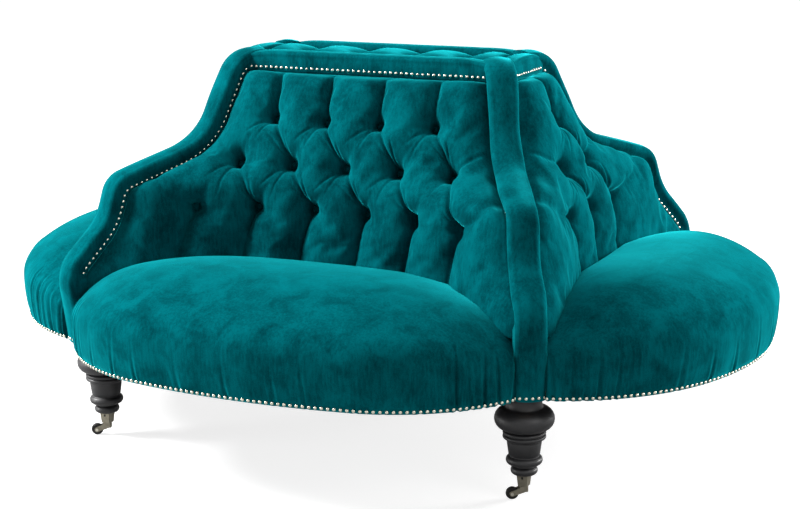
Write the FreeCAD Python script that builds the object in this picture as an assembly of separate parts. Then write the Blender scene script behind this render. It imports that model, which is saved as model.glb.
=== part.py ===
"""Four-seat buttoned settee on casters: frame, padding, legs and casters, in millimetres."""
import FreeCAD
import Part
import math
import os

V = FreeCAD.Vector

# Tower and wings
tower_height = 950.0
tower_half_length = 344.0
tower_half_depth = 100.0
wing_angle = 60.2
wing_thickness = 72.0
wing_roll_radius = 16.0
wing_top_radius = 88.0
wing_upper_slope = 63.5
wing_upper_run = 110.0
wing_hollow_radius = 175.0
wing_shelf_slope = 16.5
wing_shelf_run = 151.0
wing_shoulder_radius = 69.0
wing_front_slope = 73.0
wing_front_run = 31.0
wing_lower_hollow_radius = 152.0
wing_arm_slope = 45.5
wing_arm_run = 75.0
wing_knuckle_radius = 104.0
wing_foot_slope = 98.0
wing_padding = 18.0
wing_cover_reach = 50.0
wing_board_thickness = 30.0
wing_board_root = -40.0
wing_board_foot = 180.0
wing_root_gap = 5.0
wing_root_depth = 60.0

# Base
base_height = 258.0
rail_height = 87.0
rail_thickness = 28.0
inner_rail_thickness = 30.0
long_inner_rail_reach = 284.0
short_inner_rail_reach = 530.0
block_inner_end = 188.0
block_outer_end = 522.0
dust_cover_thickness = 1.0
dust_cover_hole = 56.0
strap_width = 60.0
strap_thickness = 2.5
strap_spacing_long = 158.0
strap_spacing_short = 150.0

# Seats
seat_end = 538.0
long_seat_reach = 823.0
long_seat_radius = 1660.0
long_seat_corner = 430.0
short_seat_reach = 993.0
short_seat_radius = 682.0
short_seat_corner = 508.0
seat_skirt = 22.0
seat_bulge = 11.0
seat_bulge_height = 364.0
seat_crown_height = 494.0
seat_back_height = 464.0
seat_roll_drop = 34.0
long_seat_back = 330.0
long_seat_end_back = 330.0
long_seat_end_crown = 412.0
short_seat_back = 588.0
short_seat_end_back = 550.0
short_seat_end_crown = 398.0
seat_end_fall = 7.0
seat_nose_radius = 80.0
seat_end_nose_radius = 52.0
seat_crown_station = 0.45

# Backs
back_top_drop = 54.0
back_foot = 365.0
nail_inset = 40.0
back_board_thickness = 12.0
long_board_reach = 110.0
long_board_foot = 293.0
short_board_reach = 354.0
short_board_foot = 541.0
long_pad_reach = 142.0
short_pad_reach = 386.0
row_one_drop = 162.0
row_two_drop = 265.0
row_three_drop = 367.0
long_row_one_reach = 203.0
long_row_two_reach = 245.0
long_row_three_reach = 272.0
long_foot_reach = 360.0
short_row_one_reach = 436.0
short_row_two_reach = 488.0
short_row_three_reach = 527.0
short_foot_reach = 623.0
long_button_spacing = 145.0
short_button_spacing = 150.0
button_diameter = 22.0
button_height = 8.0
button_seat = 26.0
pleat_width = 5.0
pillow_fullness = 0.27
end_fullness = 0.13
pillow_limit = 40.0
pinch_at_top = 0.15
pinch_height = 75.0

# Tower top
border_height = 53.0
border_width = 52.0
border_edge_radius = 12.0
border_inner_radius = 14.0
border_corner = 12.0
top_board_thickness = 20.0
top_board_overhang = 8.0
top_pad_drop = 20.0
top_pad_crown = 30.0

# Legs
leg_station = 447.0
leg_neck_diameter = 96.0
leg_bun_diameter = 137.0
leg_waist_diameter = 84.0
leg_ring_diameter = 99.0
leg_cone_top_diameter = 81.0
leg_cone_foot_diameter = 72.0
leg_bead_diameter = 84.0
leg_ankle_diameter = 57.0
leg_foot_diameter = 62.0
leg_foot_height = 62.0
leg_foot_rise = 18.0
leg_ankle_rise = 22.0
leg_bead_low_rise = 24.0
leg_bead_top_rise = 44.0
leg_cone_low_rise = 46.0
leg_cone_top_rise = 83.0
leg_ring_low_rise = 85.0
leg_ring_mid_rise = 95.0
leg_ring_top_rise = 104.0
leg_waist_rise = 107.0
leg_bun_top_rise = 158.0
leg_round = 6.0
bolt_diameter = 10.0
bolt_reach = 60.0

# Casters
cup_top_width = 27.0
cup_foot_width = 21.5
cup_foot_height = 33.0
cup_wall = 2.2
cup_floor = 4.0
stem_diameter = 8.0
rivet_diameter = 12.0
rivet_height = 2.0
fork_height = 12.5
fork_width = 20.0
fork_length = 19.0
cheek_thickness = 3.0
caster_trail = 27.0
caster_angle = 205.0
wheel_diameter = 30.0
wheel_width = 12.0
axle_diameter = 5.0
axle_boss_diameter = 12.0

# Fits
wood_gap = 0.2
cloth_gap = 0.3
pad_seat_gap = 0.7
swivel_clearance = 0.06
wheel_clearance = 0.06
wheel_side_gap = 0.7
swivel_end_gap = 0.3
axle_fit = 0.03

cosA = math.cos(math.radians(wing_angle))
sinA = math.sin(math.radians(wing_angle))
wing_half = wing_thickness / 2
rail_top = base_height + rail_height
back_top = tower_height - back_top_drop
row_one = tower_height - row_one_drop
row_two = tower_height - row_two_drop
row_three = tower_height - row_three_drop
span = 2 * short_seat_reach
strap_top = rail_top + wood_gap + strap_thickness
cushion_floor = strap_top + cloth_gap


def export(shape, node):
    os.makedirs("parts", exist_ok=True)
    shape.exportStep("parts/" + node + ".step")


def quadrant(shape, sx, sy):
    """The shape made for the (+x, +y) corner, mirrored to another corner."""
    out = shape
    if sx < 0:
        out = out.mirror(V(0, 0, 0), V(1, 0, 0))
    if sy < 0:
        out = out.mirror(V(0, 0, 0), V(0, 1, 0))
    return out


def upright(solid):
    """The same solid with its faces turned outward."""
    if solid.Volume < 0:
        solid.reverse()
    return solid


CORNERS = [("near_left", -1, -1), ("near_right", 1, -1), ("far_left", -1, 1), ("far_right", 1, 1)]


# Wing edge: a tangent path of straight runs and arcs, in distance d along the wing and height z
def ogee(inset):
    """Pieces of the wing edge moved inward by inset, each a tuple of points (d, z)."""
    heading = 0.0
    at = (-wing_top_radius * 2, tower_height - inset)
    pieces = []

    def run(length):
        nonlocal at
        h = math.radians(heading)
        to = (at[0] + length * math.cos(h), at[1] - length * math.sin(h))
        pieces.append((at, to))
        at = to

    def bend(radius, to_heading, outward):
        nonlocal at, heading
        r = radius - inset if outward else radius + inset
        turn = 1 if outward else -1
        h0 = math.radians(heading)
        cx, cz = at[0] - turn * r * math.sin(h0), at[1] - turn * r * math.cos(h0)
        pts = [at]
        for part in (0.5, 1.0):
            h = math.radians(heading + (to_heading - heading) * part)
            pts.append((cx + turn * r * math.sin(h), cz + turn * r * math.cos(h)))
        pieces.append(tuple(pts))
        at, heading = pts[-1], to_heading

    run(2 * wing_top_radius - wing_root_gap)
    bend(wing_top_radius, wing_upper_slope, True)
    run(wing_upper_run)
    bend(wing_hollow_radius, wing_shelf_slope, False)
    run(wing_shelf_run)
    bend(wing_shoulder_radius, wing_front_slope, True)
    run(wing_front_run)
    bend(wing_lower_hollow_radius, wing_arm_slope, False)
    run(wing_arm_run)
    bend(wing_knuckle_radius, wing_foot_slope, True)
    run((at[1] - base_height) / math.sin(math.radians(wing_foot_slope)))
    return pieces


def wing_point(d, z, p=0.0):
    """A point on the wing of the (+x, +y) corner; p is the distance from its middle plane."""
    return V(tower_half_length + d * cosA - p * sinA, tower_half_depth + d * sinA + p * cosA, z)


def wing_edges(pieces, p):
    edges = []
    for piece in pieces:
        pts = [wing_point(d, z, p) for d, z in piece]
        edges.append(Part.LineSegment(*pts).toShape() if len(pts) == 2 else Part.Arc(*pts).toShape())
    return edges


def wing_slab(outer, inner, half):
    """A slab of the wing between two edge paths, 2*half thick."""
    a, b = wing_edges(outer, -half), wing_edges(inner, -half)
    first = Part.LineSegment(wing_point(*inner[0][0], -half), wing_point(*outer[0][0], -half)).toShape()
    last = Part.LineSegment(wing_point(*outer[-1][-1], -half), wing_point(*inner[-1][-1], -half)).toShape()
    wire = Part.Wire([first] + a + [last] + b[::-1])
    return Part.Face(wire).extrude(V(-sinA, cosA, 0) * (2 * half))


def edge_station(pieces, z):
    """Distance along the wing at which the edge path passes height z."""
    for piece in pieces:
        z0, z1 = piece[0][1], piece[-1][1]
        if len(piece) == 2:
            if min(z0, z1) <= z <= max(z0, z1) and abs(z0 - z1) > 1e-6:
                return piece[0][0] + (piece[-1][0] - piece[0][0]) * (z - z0) / (z1 - z0)
        elif min(z0, z1) <= z <= max(z0, z1):
            circle = Part.Arc(*[V(d, h, 0) for d, h in piece]).toShape().Curve
            c, r = circle.Center, circle.Radius
            half = math.sqrt(max(r * r - (z - c.y) ** 2, 0.0))
            return c.x + half if piece[1][0] > c.x else c.x - half
    return pieces[-1][-1][0]


# One side of the settee: lateral coordinate l, forward coordinate f
class Side:
    def __init__(self, long_side):
        self.long = long_side
        if long_side:
            self.l0, self.f0, self.cl, self.cf = tower_half_length, tower_half_depth, cosA, sinA
        else:
            self.l0, self.f0, self.cl, self.cf = tower_half_depth, tower_half_length, sinA, cosA

    def wing(self, d, p):
        return self.l0 + self.cl * d - self.cf * p, self.f0 + self.cf * d + self.cl * p

    def station(self, f, p):
        """Distance along the wing at forward distance f, on the plane at offset p."""
        return (f - self.f0 - self.cl * p) / self.cf

    def at(self, l, f, z):
        return V(l, f, z) if self.long else V(f, l, z)

    def line(self, a, b):
        return Part.LineSegment(self.at(*a), self.at(*b)).toShape()

    def arc(self, a, m, b):
        return Part.Arc(self.at(*a), self.at(*m), self.at(*b)).toShape()

    def place(self, shape, sign):
        """The shape of the + side, or its mirror image on the - side."""
        if sign > 0:
            return shape
        return shape.mirror(V(0, 0, 0), V(0, 1, 0) if self.long else V(1, 0, 0))


LONG, SHORT = Side(True), Side(False)
SEATS = [("front", LONG, -1), ("rear", LONG, 1), ("left", SHORT, -1), ("right", SHORT, 1)]


# Seat outline in plan: a middle arc and two tangent corner arcs that end on the wing sides
class Lobe:
    def __init__(self, side, reach, radius, corner):
        self.side, self.reach, self.radius, self.corner = side, reach, radius, corner
        self.c1 = (0.0, reach - radius)
        ex, ey = side.wing(seat_end, wing_half + cloth_gap)
        # centre of the corner arc: radius - corner from c1 and corner from the end point
        dx, dy = ex - self.c1[0], ey - self.c1[1]
        dist = math.hypot(dx, dy)
        r1, r2 = radius - corner, corner
        along = (r1 * r1 - r2 * r2 + dist * dist) / (2 * dist)
        off = math.sqrt(max(r1 * r1 - along * along, 0.0))
        ux, uy = dx / dist, dy / dist
        self.c2 = (self.c1[0] + ux * along - uy * off, self.c1[1] + uy * along + ux * off)
        self.join = math.atan2(self.c2[0] - self.c1[0], self.c2[1] - self.c1[1])

    def end_angle(self, inset, p):
        """Angle on the corner arc, inset from the outline, where it meets the plane at offset p."""
        s, r = self.side, self.corner - inset
        nl, nf = -s.cf, s.cl
        l0, f0 = s.wing(0, p)
        h = (self.c2[0] - l0) * nl + (self.c2[1] - f0) * nf
        run = math.sqrt(max(r * r - h * h, 0.0))
        l, f = self.c2[0] - nl * h + s.cl * run, self.c2[1] - nf * h + s.cf * run
        return math.atan2(l - self.c2[0], f - self.c2[1])

    def spot(self, part, inset=0.0, p=wing_half + cloth_gap):
        """Point of the outline at a fraction part of the way from the middle (0) to the end (1)."""
        r1, r2 = self.radius - inset, self.corner - inset
        end = self.end_angle(inset, p)
        len1, len2 = r1 * self.join, r2 * (end - self.join)
        s = part * (len1 + len2)
        if s <= len1:
            t = s / r1
            return self.c1[0] + r1 * math.sin(t), self.c1[1] + r1 * math.cos(t)
        t = self.join + (s - len1) / r2
        return self.c2[0] + r2 * math.sin(t), self.c2[1] + r2 * math.cos(t)

    def edges(self, inset, p, z):
        """Edges of the outline from the -l end to the +l end."""
        s, r1, r2 = self.side, self.radius - inset, self.corner - inset
        end = self.end_angle(inset, p)

        def on1(t):
            return self.c1[0] + r1 * math.sin(t), self.c1[1] + r1 * math.cos(t), z

        def on2(t):
            return self.c2[0] + r2 * math.sin(t), self.c2[1] + r2 * math.cos(t), z

        def flip(q):
            return -q[0], q[1], q[2]

        mid = (self.join + end) / 2
        a, m, b = on2(end), on2(mid), on2(self.join)
        return [s.arc(flip(a), flip(m), flip(b)), s.arc(flip(b), on1(0), b), s.arc(b, m, a)]

    def plate(self, inset, p, back, z, height):
        """A flat plate from the outline back to forward distance back."""
        s = self.side
        end = self.end_angle(inset, p)
        r2 = self.corner - inset
        e = (self.c2[0] + r2 * math.sin(end), self.c2[1] + r2 * math.cos(end))
        lb = s.wing(s.station(back, p), p)[0]
        loop = self.edges(inset, p, z) + [s.line((e[0], e[1], z), (lb, back, z)), s.line((lb, back, z), (-lb, back, z)),
                                          s.line((-lb, back, z), (-e[0], e[1], z))]
        return Part.Face(Part.Wire(loop)).extrude(V(0, 0, height))


LONG_LOBE = Lobe(LONG, long_seat_reach, long_seat_radius, long_seat_corner)
SHORT_LOBE = Lobe(SHORT, short_seat_reach, short_seat_radius, short_seat_corner)


# Wing boards and padded wing rolls
def make_wings():
    board_half = wing_board_thickness / 2
    top_face = tower_height - border_height - top_board_thickness
    clear = wing_half + cloth_gap

    def shaft(radius, low, high):
        """The tower-top outline near the corner, from which the wing starts."""
        c = Part.makeCylinder(radius, high - low, V(tower_half_length, tower_half_depth, low))
        b1 = Part.makeBox(tower_half_length, tower_half_depth + radius, high - low, V(0, 0, low))
        b2 = Part.makeBox(tower_half_length + radius, tower_half_depth, high - low, V(0, 0, low))
        return c.fuse([b1, b2])

    # The board: ogee edge outside, straight edge inside, foot on the corner block
    outer = ogee(wing_padding)
    slab = wing_slab(outer, [((wing_board_root, top_face - wood_gap), (wing_board_foot, rail_top + wood_gap))], board_half)
    foot = Part.makeBox(2 * span, 2 * span, rail_top + wood_gap, V(-span, -span, 0))
    board = slab.cut(foot).cut(shaft(clear, top_face - wood_gap, tower_height + wing_root_depth))
    board = max(board.Solids, key=lambda s: s.Volume)

    # The roll: a rounded band round the board's edge, with a slot for the board and the block's end
    roll = wing_slab(ogee(0.0), ogee(wing_cover_reach), wing_half)
    rounds = []
    for piece in ogee(0.0):
        for p in (-wing_half, wing_half):
            mid = piece[1] if len(piece) == 3 else tuple((u + w) / 2 for u, w in zip(*piece))
            spot = Part.Vertex(wing_point(*mid, p))
            rounds.append(min(roll.Edges, key=lambda e: e.distToShape(spot)[0]))
    roll = roll.makeFillet(wing_roll_radius, rounds)
    slot = wing_slab(ogee(wing_padding - cloth_gap), ogee(wing_cover_reach + rail_thickness), board_half + cloth_gap)
    slot = slot.cut(Part.makeBox(2 * span, 2 * span, rail_top, V(-span, -span, 0)))
    roll = roll.cut(slot).cut(shaft(clear, tower_height - border_height - wing_root_depth, tower_height + wing_root_depth))
    roll = roll.cut(corner_block(cloth_gap, wing_root_depth))
    roll = max(roll.Solids, key=lambda s: s.Volume)
    for name, sx, sy in CORNERS:
        export(quadrant(board, sx, sy), "wing_board_" + name)
        export(quadrant(roll, sx, sy), "wing_roll_" + name)


# Corner blocks, each under a wing
def corner_block(gap=0.0, extra=0.0):
    half = wing_half - wood_gap + gap + (2.0 if gap else 0.0)
    pts = [wing_point(d, base_height - extra, p) for d, p in ((block_inner_end - gap, -half), (block_outer_end + gap, -half),
                                                            (block_outer_end + gap, half), (block_inner_end - gap, half))]
    return Part.Face(Part.makePolygon(pts + pts[:1])).extrude(V(0, 0, rail_height + extra + gap))


def make_blocks():
    block = corner_block()
    axis = wing_point(leg_station, 0)
    bore = Part.makeCylinder(bolt_diameter / 2 + wood_gap, bolt_reach + 2, V(axis.x, axis.y, base_height - 1))
    block = block.cut(bore)
    for name, sx, sy in CORNERS:
        export(quadrant(block, sx, sy), "corner_block_" + name)


# Curved outer rails and straight inner rails
def make_rails():
    for name, side, sign in SEATS:
        lobe = LONG_LOBE if side.long else SHORT_LOBE
        p = wing_half + wood_gap
        outer = lobe.plate(seat_skirt + cloth_gap, p, side.f0, base_height, rail_height)
        inner = lobe.plate(seat_skirt + cloth_gap + rail_thickness, p - 3, side.f0 - 3, base_height - 1, rail_height + 2)
        rail = outer.cut(inner)
        rail = max(rail.Solids, key=lambda s: s.Volume)
        export(side.place(rail, sign), "seat_rail_" + name)
        reach = long_inner_rail_reach if side.long else short_inner_rail_reach
        l0 = side.wing(side.station(reach, p), p)[0]
        l1 = side.wing(side.station(reach + inner_rail_thickness, p), p)[0]
        z = base_height
        far = reach + inner_rail_thickness
        corners = [side.at(-l0, reach, z), side.at(l0, reach, z), side.at(l1, far, z), side.at(-l1, far, z)]
        bar = Part.Face(Part.makePolygon(corners + corners[:1])).extrude(V(0, 0, rail_height))
        export(side.place(bar, sign), "inner_rail_" + name)


# Webbing straps from the inner rails to the outer rails
def make_straps():
    straps = []
    for name, side, sign in SEATS:
        lobe = LONG_LOBE if side.long else SHORT_LOBE
        count, step = (5, strap_spacing_long) if side.long else (5, strap_spacing_short)
        reach = board_face(side, rail_top) + 1.0
        for i in range(count):
            l = (i - (count - 1) / 2) * step
            lo, hi = l - strap_width / 2, l + strap_width / 2

            def outline(q):
                r = lobe.radius - seat_skirt - cloth_gap - 3.0
                at_join = lobe.c1[0] + r * math.sin(lobe.join)
                if abs(q) <= at_join:
                    return lobe.c1[1] + math.sqrt(r * r - q * q)
                r2 = lobe.corner - seat_skirt - cloth_gap - 3.0
                return lobe.c2[1] + math.sqrt(r2 * r2 - (abs(q) - lobe.c2[0]) ** 2)

            pts = [side.at(lo, reach, rail_top + wood_gap), side.at(hi, reach, rail_top + wood_gap),
                   side.at(hi, outline(hi), rail_top + wood_gap), side.at(lo, outline(lo), rail_top + wood_gap)]
            strap = Part.Face(Part.makePolygon(pts + pts[:1])).extrude(V(0, 0, strap_thickness))
            straps.append(side.place(strap, sign))
    export(Part.makeCompound(straps), "seat_webbing")


# Crowned seat cushions: a fan of upright sections lofted from wing to wing
def seat_section(run, part, end_crown):
    """Edge points of one section, in distance s from the back and height z."""
    ease = part ** 3
    crown = seat_crown_height + (end_crown - seat_crown_height) * ease
    heel = seat_back_height + (end_crown - seat_end_fall - seat_back_height) * ease
    brow = seat_bulge_height - seat_roll_drop * ease
    edge = run + seat_bulge * (1 - 0.75 * ease)
    nose = seat_nose_radius - (seat_nose_radius - seat_end_nose_radius) * ease
    top = run * seat_crown_station

    def crown_radius(turn):
        return (crown - brow - nose * math.sin(turn)) / (1 - math.sin(turn))

    # Turn of the nose arc at which the crown arc runs level at the crown
    low, high = 0.0, math.radians(85.0)
    for step in range(60):
        turn = (low + high) / 2
        length = nose * (1 - math.cos(turn)) + crown_radius(turn) * math.cos(turn)
        low, high = (turn, high) if length < edge - top else (low, turn)
    r = crown_radius(turn)
    bend = (edge - nose * (1 - math.cos(turn)), brow + nose * math.sin(turn))
    bend_mid = (edge - nose * (1 - math.cos(turn / 2)), brow + nose * math.sin(turn / 2))
    slope = (math.pi / 2 - turn) / 2
    crown_mid = (top + r * math.sin(slope), crown - r * (1 - math.cos(slope)))
    back_r = (top ** 2 + (crown - heel) ** 2) / (2 * (crown - heel))
    back_slope = math.asin(top / back_r) / 2
    back_mid = (top - back_r * math.sin(back_slope), crown - back_r * (1 - math.cos(back_slope)))
    skirt_mid = (run + (edge - run) * 0.72, (base_height + brow) / 2)
    return skirt_mid, (edge, brow), bend_mid, bend, crown_mid, (top, crown), back_mid, (0.0, heel)


def seat_solid(side, lobe, grow=0.0):
    """The cushion without its hollow; grow moves its top and back outward."""
    back, end_back, end_crown = (long_seat_back, long_seat_end_back, long_seat_end_crown) if side.long else (
        short_seat_back, short_seat_end_back, short_seat_end_crown)
    p = wing_half + cloth_gap - (1.0 if grow else 0.0)
    back_l = side.wing(side.station(end_back - grow, p), p)[0]
    wires = []
    steps = 6
    for i in range(-steps, steps + 1):
        part = abs(i) / steps
        tip = lobe.spot(part, -grow, p)
        tip = (math.copysign(tip[0], i) if i else 0.0, tip[1])
        root = (back_l * i / steps, back + (end_back - back) * part ** 2 - grow)
        run = math.hypot(tip[0] - root[0], tip[1] - root[1])
        ul, uf = (tip[0] - root[0]) / run, (tip[1] - root[1]) / run

        def q(spot):
            return root[0] + ul * spot[0], root[1] + uf * spot[0], spot[1] + grow

        skirt, brow, bend_mid, bend, crown_mid, crown, back_mid, heel = [q(v) for v in seat_section(run, part, end_crown)]
        low, foot = q((0.0, base_height - grow)), q((run, base_height - grow))
        wires.append(Part.Wire([side.line(low, foot), side.arc(foot, skirt, brow), side.arc(brow, bend_mid, bend), side.arc(bend, crown_mid, crown),
                                side.arc(crown, back_mid, heel), side.line(heel, low)]))
    return upright(Part.makeLoft(wires, True, False))


def make_seats():
    for name, side, sign in SEATS:
        lobe = LONG_LOBE if side.long else SHORT_LOBE
        p = wing_half + cloth_gap
        hollow = lobe.plate(seat_skirt, p - 6, side.f0, base_height - 5, cushion_floor - base_height + 5)
        seat = seat_solid(side, lobe).cut(hollow)
        seat = max(seat.Solids, key=lambda s: s.Volume)
        export(side.place(seat, sign), "seat_cushion_" + name)


# Raked back boards between the wing boards
def board_face(side, z):
    reach, foot = (long_board_reach, long_board_foot) if side.long else (short_board_reach, short_board_foot)
    return reach + (foot - reach) * (back_top - z) / (back_top - back_foot)


def make_back_boards():
    top_z = tower_height - border_height - top_board_thickness - wood_gap
    low_z = rail_top + wood_gap
    p = wing_board_thickness / 2 + wood_gap
    for name, side, sign in SEATS:
        wires = []
        for depth in (0.0, back_board_thickness):
            pts = []
            for z in (low_z, top_z):
                f = board_face(side, z) - depth
                l = side.wing(side.station(f, p), p)[0]
                pts.append((l, f, z))
            loop = [pts[0], pts[1], (-pts[1][0],) + pts[1][1:], (-pts[0][0],) + pts[0][1:]]
            loop = [side.at(*q) for q in loop]
            wires.append(Part.makePolygon(loop + loop[:1]))
        board = upright(Part.makeLoft(wires, True, True))
        # Notched where the padded rolls wrap the wing boards
        notch = wing_slab(ogee(-2.0), ogee(wing_cover_reach + 1.0), wing_half + cloth_gap)
        other = (1, -1) if not side.long else (-1, 1)
        board = board.cut([notch, quadrant(notch, *other)])
        board = max(board.Solids, key=lambda s: s.Volume)
        export(side.place(board, sign), "back_board_" + name)


# Deep-buttoned back pads: level sections whose arcs are the pillows and whose corners are the pleats
def pad_levels():
    out = []
    marks = [back_top, row_one, row_two, row_three, back_foot]
    for hi, lo, steps in zip(marks[:-1], marks[1:], (5, 4, 4, 5)):
        for i in range(steps):
            out.append(hi + (lo - hi) * i / steps)
    return out + [back_foot]


def blend(z, values):
    """Value at height z from a list of (z, value), joined by straight lines."""
    for (z0, v0), (z1, v1) in zip(values[:-1], values[1:]):
        if z0 >= z >= z1:
            return v0 + (v1 - v0) * (z0 - z) / (z0 - z1)
    return values[-1][1] if z < values[-1][0] else values[0][1]


def middle_reach(side, z):
    rows = (long_pad_reach, long_row_one_reach, long_row_two_reach, long_row_three_reach, long_foot_reach) if side.long else (
        short_pad_reach, short_row_one_reach, short_row_two_reach, short_row_three_reach, short_foot_reach)
    return blend(z, list(zip((back_top, row_one, row_two, row_three, back_foot), rows)))


NAIL_PATH = ogee(nail_inset + 6.0)


def pad_end(side, z):
    return side.wing(edge_station(NAIL_PATH, z), wing_half + cloth_gap)


def pad_floor(side, l, z):
    """Forward distance of the pleat floor."""
    end_l, end_f = pad_end(side, z)
    mid = middle_reach(side, z)
    return mid + (end_f - mid) * (min(abs(l) / end_l, 1.0)) ** 2.2


def button_rows(side):
    """Lateral positions (of the + half) of the buttons in each row."""
    s = long_button_spacing if side.long else short_button_spacing
    if side.long:
        return [(s / 2, 1.5 * s), (0.0, s, 2 * s), (s / 2, 1.5 * s, 2.5 * s)]
    return [(0.0,), (s / 2,), (0.0, s)]


def pleats(side, z):
    """Lateral positions of the pleats of the + half at height z, in order from the middle."""
    g, e = button_seat / 2, pleat_width / 2
    s = long_button_spacing if side.long else short_button_spacing

    def wing(k, height):
        return pad_end(side, height)[0] - k

    if side.long:
        table = [
            (back_top, [s / 2 - e, s / 2 + e, 1.5 * s - e, 1.5 * s + e, wing(26, back_top), wing(12, back_top)]),
            (row_one, [s / 2 - g, s / 2 + g, 1.5 * s - g, 1.5 * s + g, wing(34, row_one), wing(14, row_one)]),
            (row_two, [g, s - g, s + g, 2 * s - g, 2 * s + g, wing(22, row_two)]),
            (row_three, [s / 2 - g, s / 2 + g, 1.5 * s - g, 1.5 * s + g, 2.5 * s - g, 2.5 * s + g]),
            (back_foot, [s / 2 - e, s / 2 + e, 1.5 * s - e, 1.5 * s + e, 2.5 * s - e, 2.5 * s + e])]
    else:
        table = [
            (back_top, [e, wing(26, back_top), wing(12, back_top)]),
            (row_one, [g, wing(40, row_one), wing(14, row_one)]),
            (row_two, [s / 2 - g, s / 2 + g, wing(30, row_two)]),
            (row_three, [g, s - g, s + g]),
            (back_foot, [e, s - e, s + e])]
    return [blend(z, [(h, row[i]) for h, row in table]) for i in range(len(table[0][1]))]


def make_back_pads():
    all_buttons = []
    for name, side, sign in SEATS:
        if sign < 0:
            continue
        wires = []
        for z in pad_levels():
            end_l, end_f = pad_end(side, z)
            half = pleats(side, z)
            spots = [-end_l] + [-v for v in half[::-1]] + half + [end_l]
            pts = [(l, pad_floor(side, l, z)) for l in spots]
            pinch = min(1.0, pinch_at_top + (back_top - z) / pinch_height)
            edges = []
            for i, (a, b) in enumerate(zip(pts[:-1], pts[1:])):
                w = math.hypot(b[0] - a[0], b[1] - a[1])
                full = end_fullness if i in (0, len(pts) - 2) else pillow_fullness
                rise = min(full * max(w - button_seat * 0.8, 0.08 * w), pillow_limit) * pinch
                nl, nf = -(b[1] - a[1]) / w, (b[0] - a[0]) / w
                m = ((a[0] + b[0]) / 2 + nl * rise, (a[1] + b[1]) / 2 + nf * rise)
                edges.append(side.arc(a + (z,), m + (z,), b + (z,)))
            f = board_face(side, z) + cloth_gap
            p = wing_half + cloth_gap
            l = side.wing(side.station(f, p), p)[0]
            edges += [side.line((end_l, end_f, z), (l, f, z)), side.line((l, f, z), (-l, f, z)), side.line((-l, f, z), (-end_l, end_f, z))]
            wires.append(Part.Wire(edges))
        pad = upright(Part.makeLoft(wires, True, True))
        dimples, buttons = [], []
        for z, row in zip((row_one, row_two, row_three), button_rows(side)):
            for l in sorted(set([-v for v in row] + list(row))):
                f = pad_floor(side, l, z)
                slope_l = (pad_floor(side, l + 5, z) - pad_floor(side, l - 5, z)) / 10
                slope_z = (middle_reach(side, z - 20) - middle_reach(side, z + 20)) / 40
                axis = side.at(-slope_l, 1.0, slope_z)
                axis.normalize()
                r = button_diameter / 2
                seat = side.at(l, f, z) + axis * 1.0
                dimples.append(Part.makeCone(r + 2.0, r + 16.0, 40.0, seat, axis))
                base = seat + axis * cloth_gap
                dome = Part.makeCylinder(r, button_height * 0.4, base, axis)
                lens_r = (r * r + (button_height * 0.6) ** 2) / (2 * button_height * 0.6)
                lens_c = base + axis * (button_height - lens_r)
                ball = Part.makeSphere(lens_r, lens_c)
                stem = Part.makeCylinder(r, button_height + 2, base, axis)
                buttons.append(ball.common(stem).fuse(dome).removeSplitter())
        pad = pad.cut(Part.makeCompound(dimples))
        # The cushion lies in front of the pad's foot
        pad = pad.cut(seat_solid(side, LONG_LOBE if side.long else SHORT_LOBE, pad_seat_gap))
        pad = max(pad.Solids, key=lambda s: s.Volume)
        for other, s2, sg in SEATS:
            if s2 is side:
                export(side.place(pad, sg), "back_pad_" + other)
                all_buttons += [side.place(b, sg) for b in buttons]
    export(Part.makeCompound(all_buttons), "back_buttons")


# Tower top: board, padded border and tufted pad
def rounded_plate(hx, hy, r, z):
    pts = []
    for cx, cy, start in ((hx - r, hy - r, 0), (-hx + r, hy - r, 90), (-hx + r, -hy + r, 180), (hx - r, -hy + r, 270)):
        pts.append([V(cx + r * math.cos(math.radians(start + t)), cy + r * math.sin(math.radians(start + t)), z) for t in (0, 45, 90)])
    edges = []
    for i, arc in enumerate(pts):
        edges.append(Part.Arc(*arc).toShape())
        edges.append(Part.LineSegment(arc[2], pts[(i + 1) % 4][0]).toShape())
    return Part.Face(Part.Wire(edges))


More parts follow.
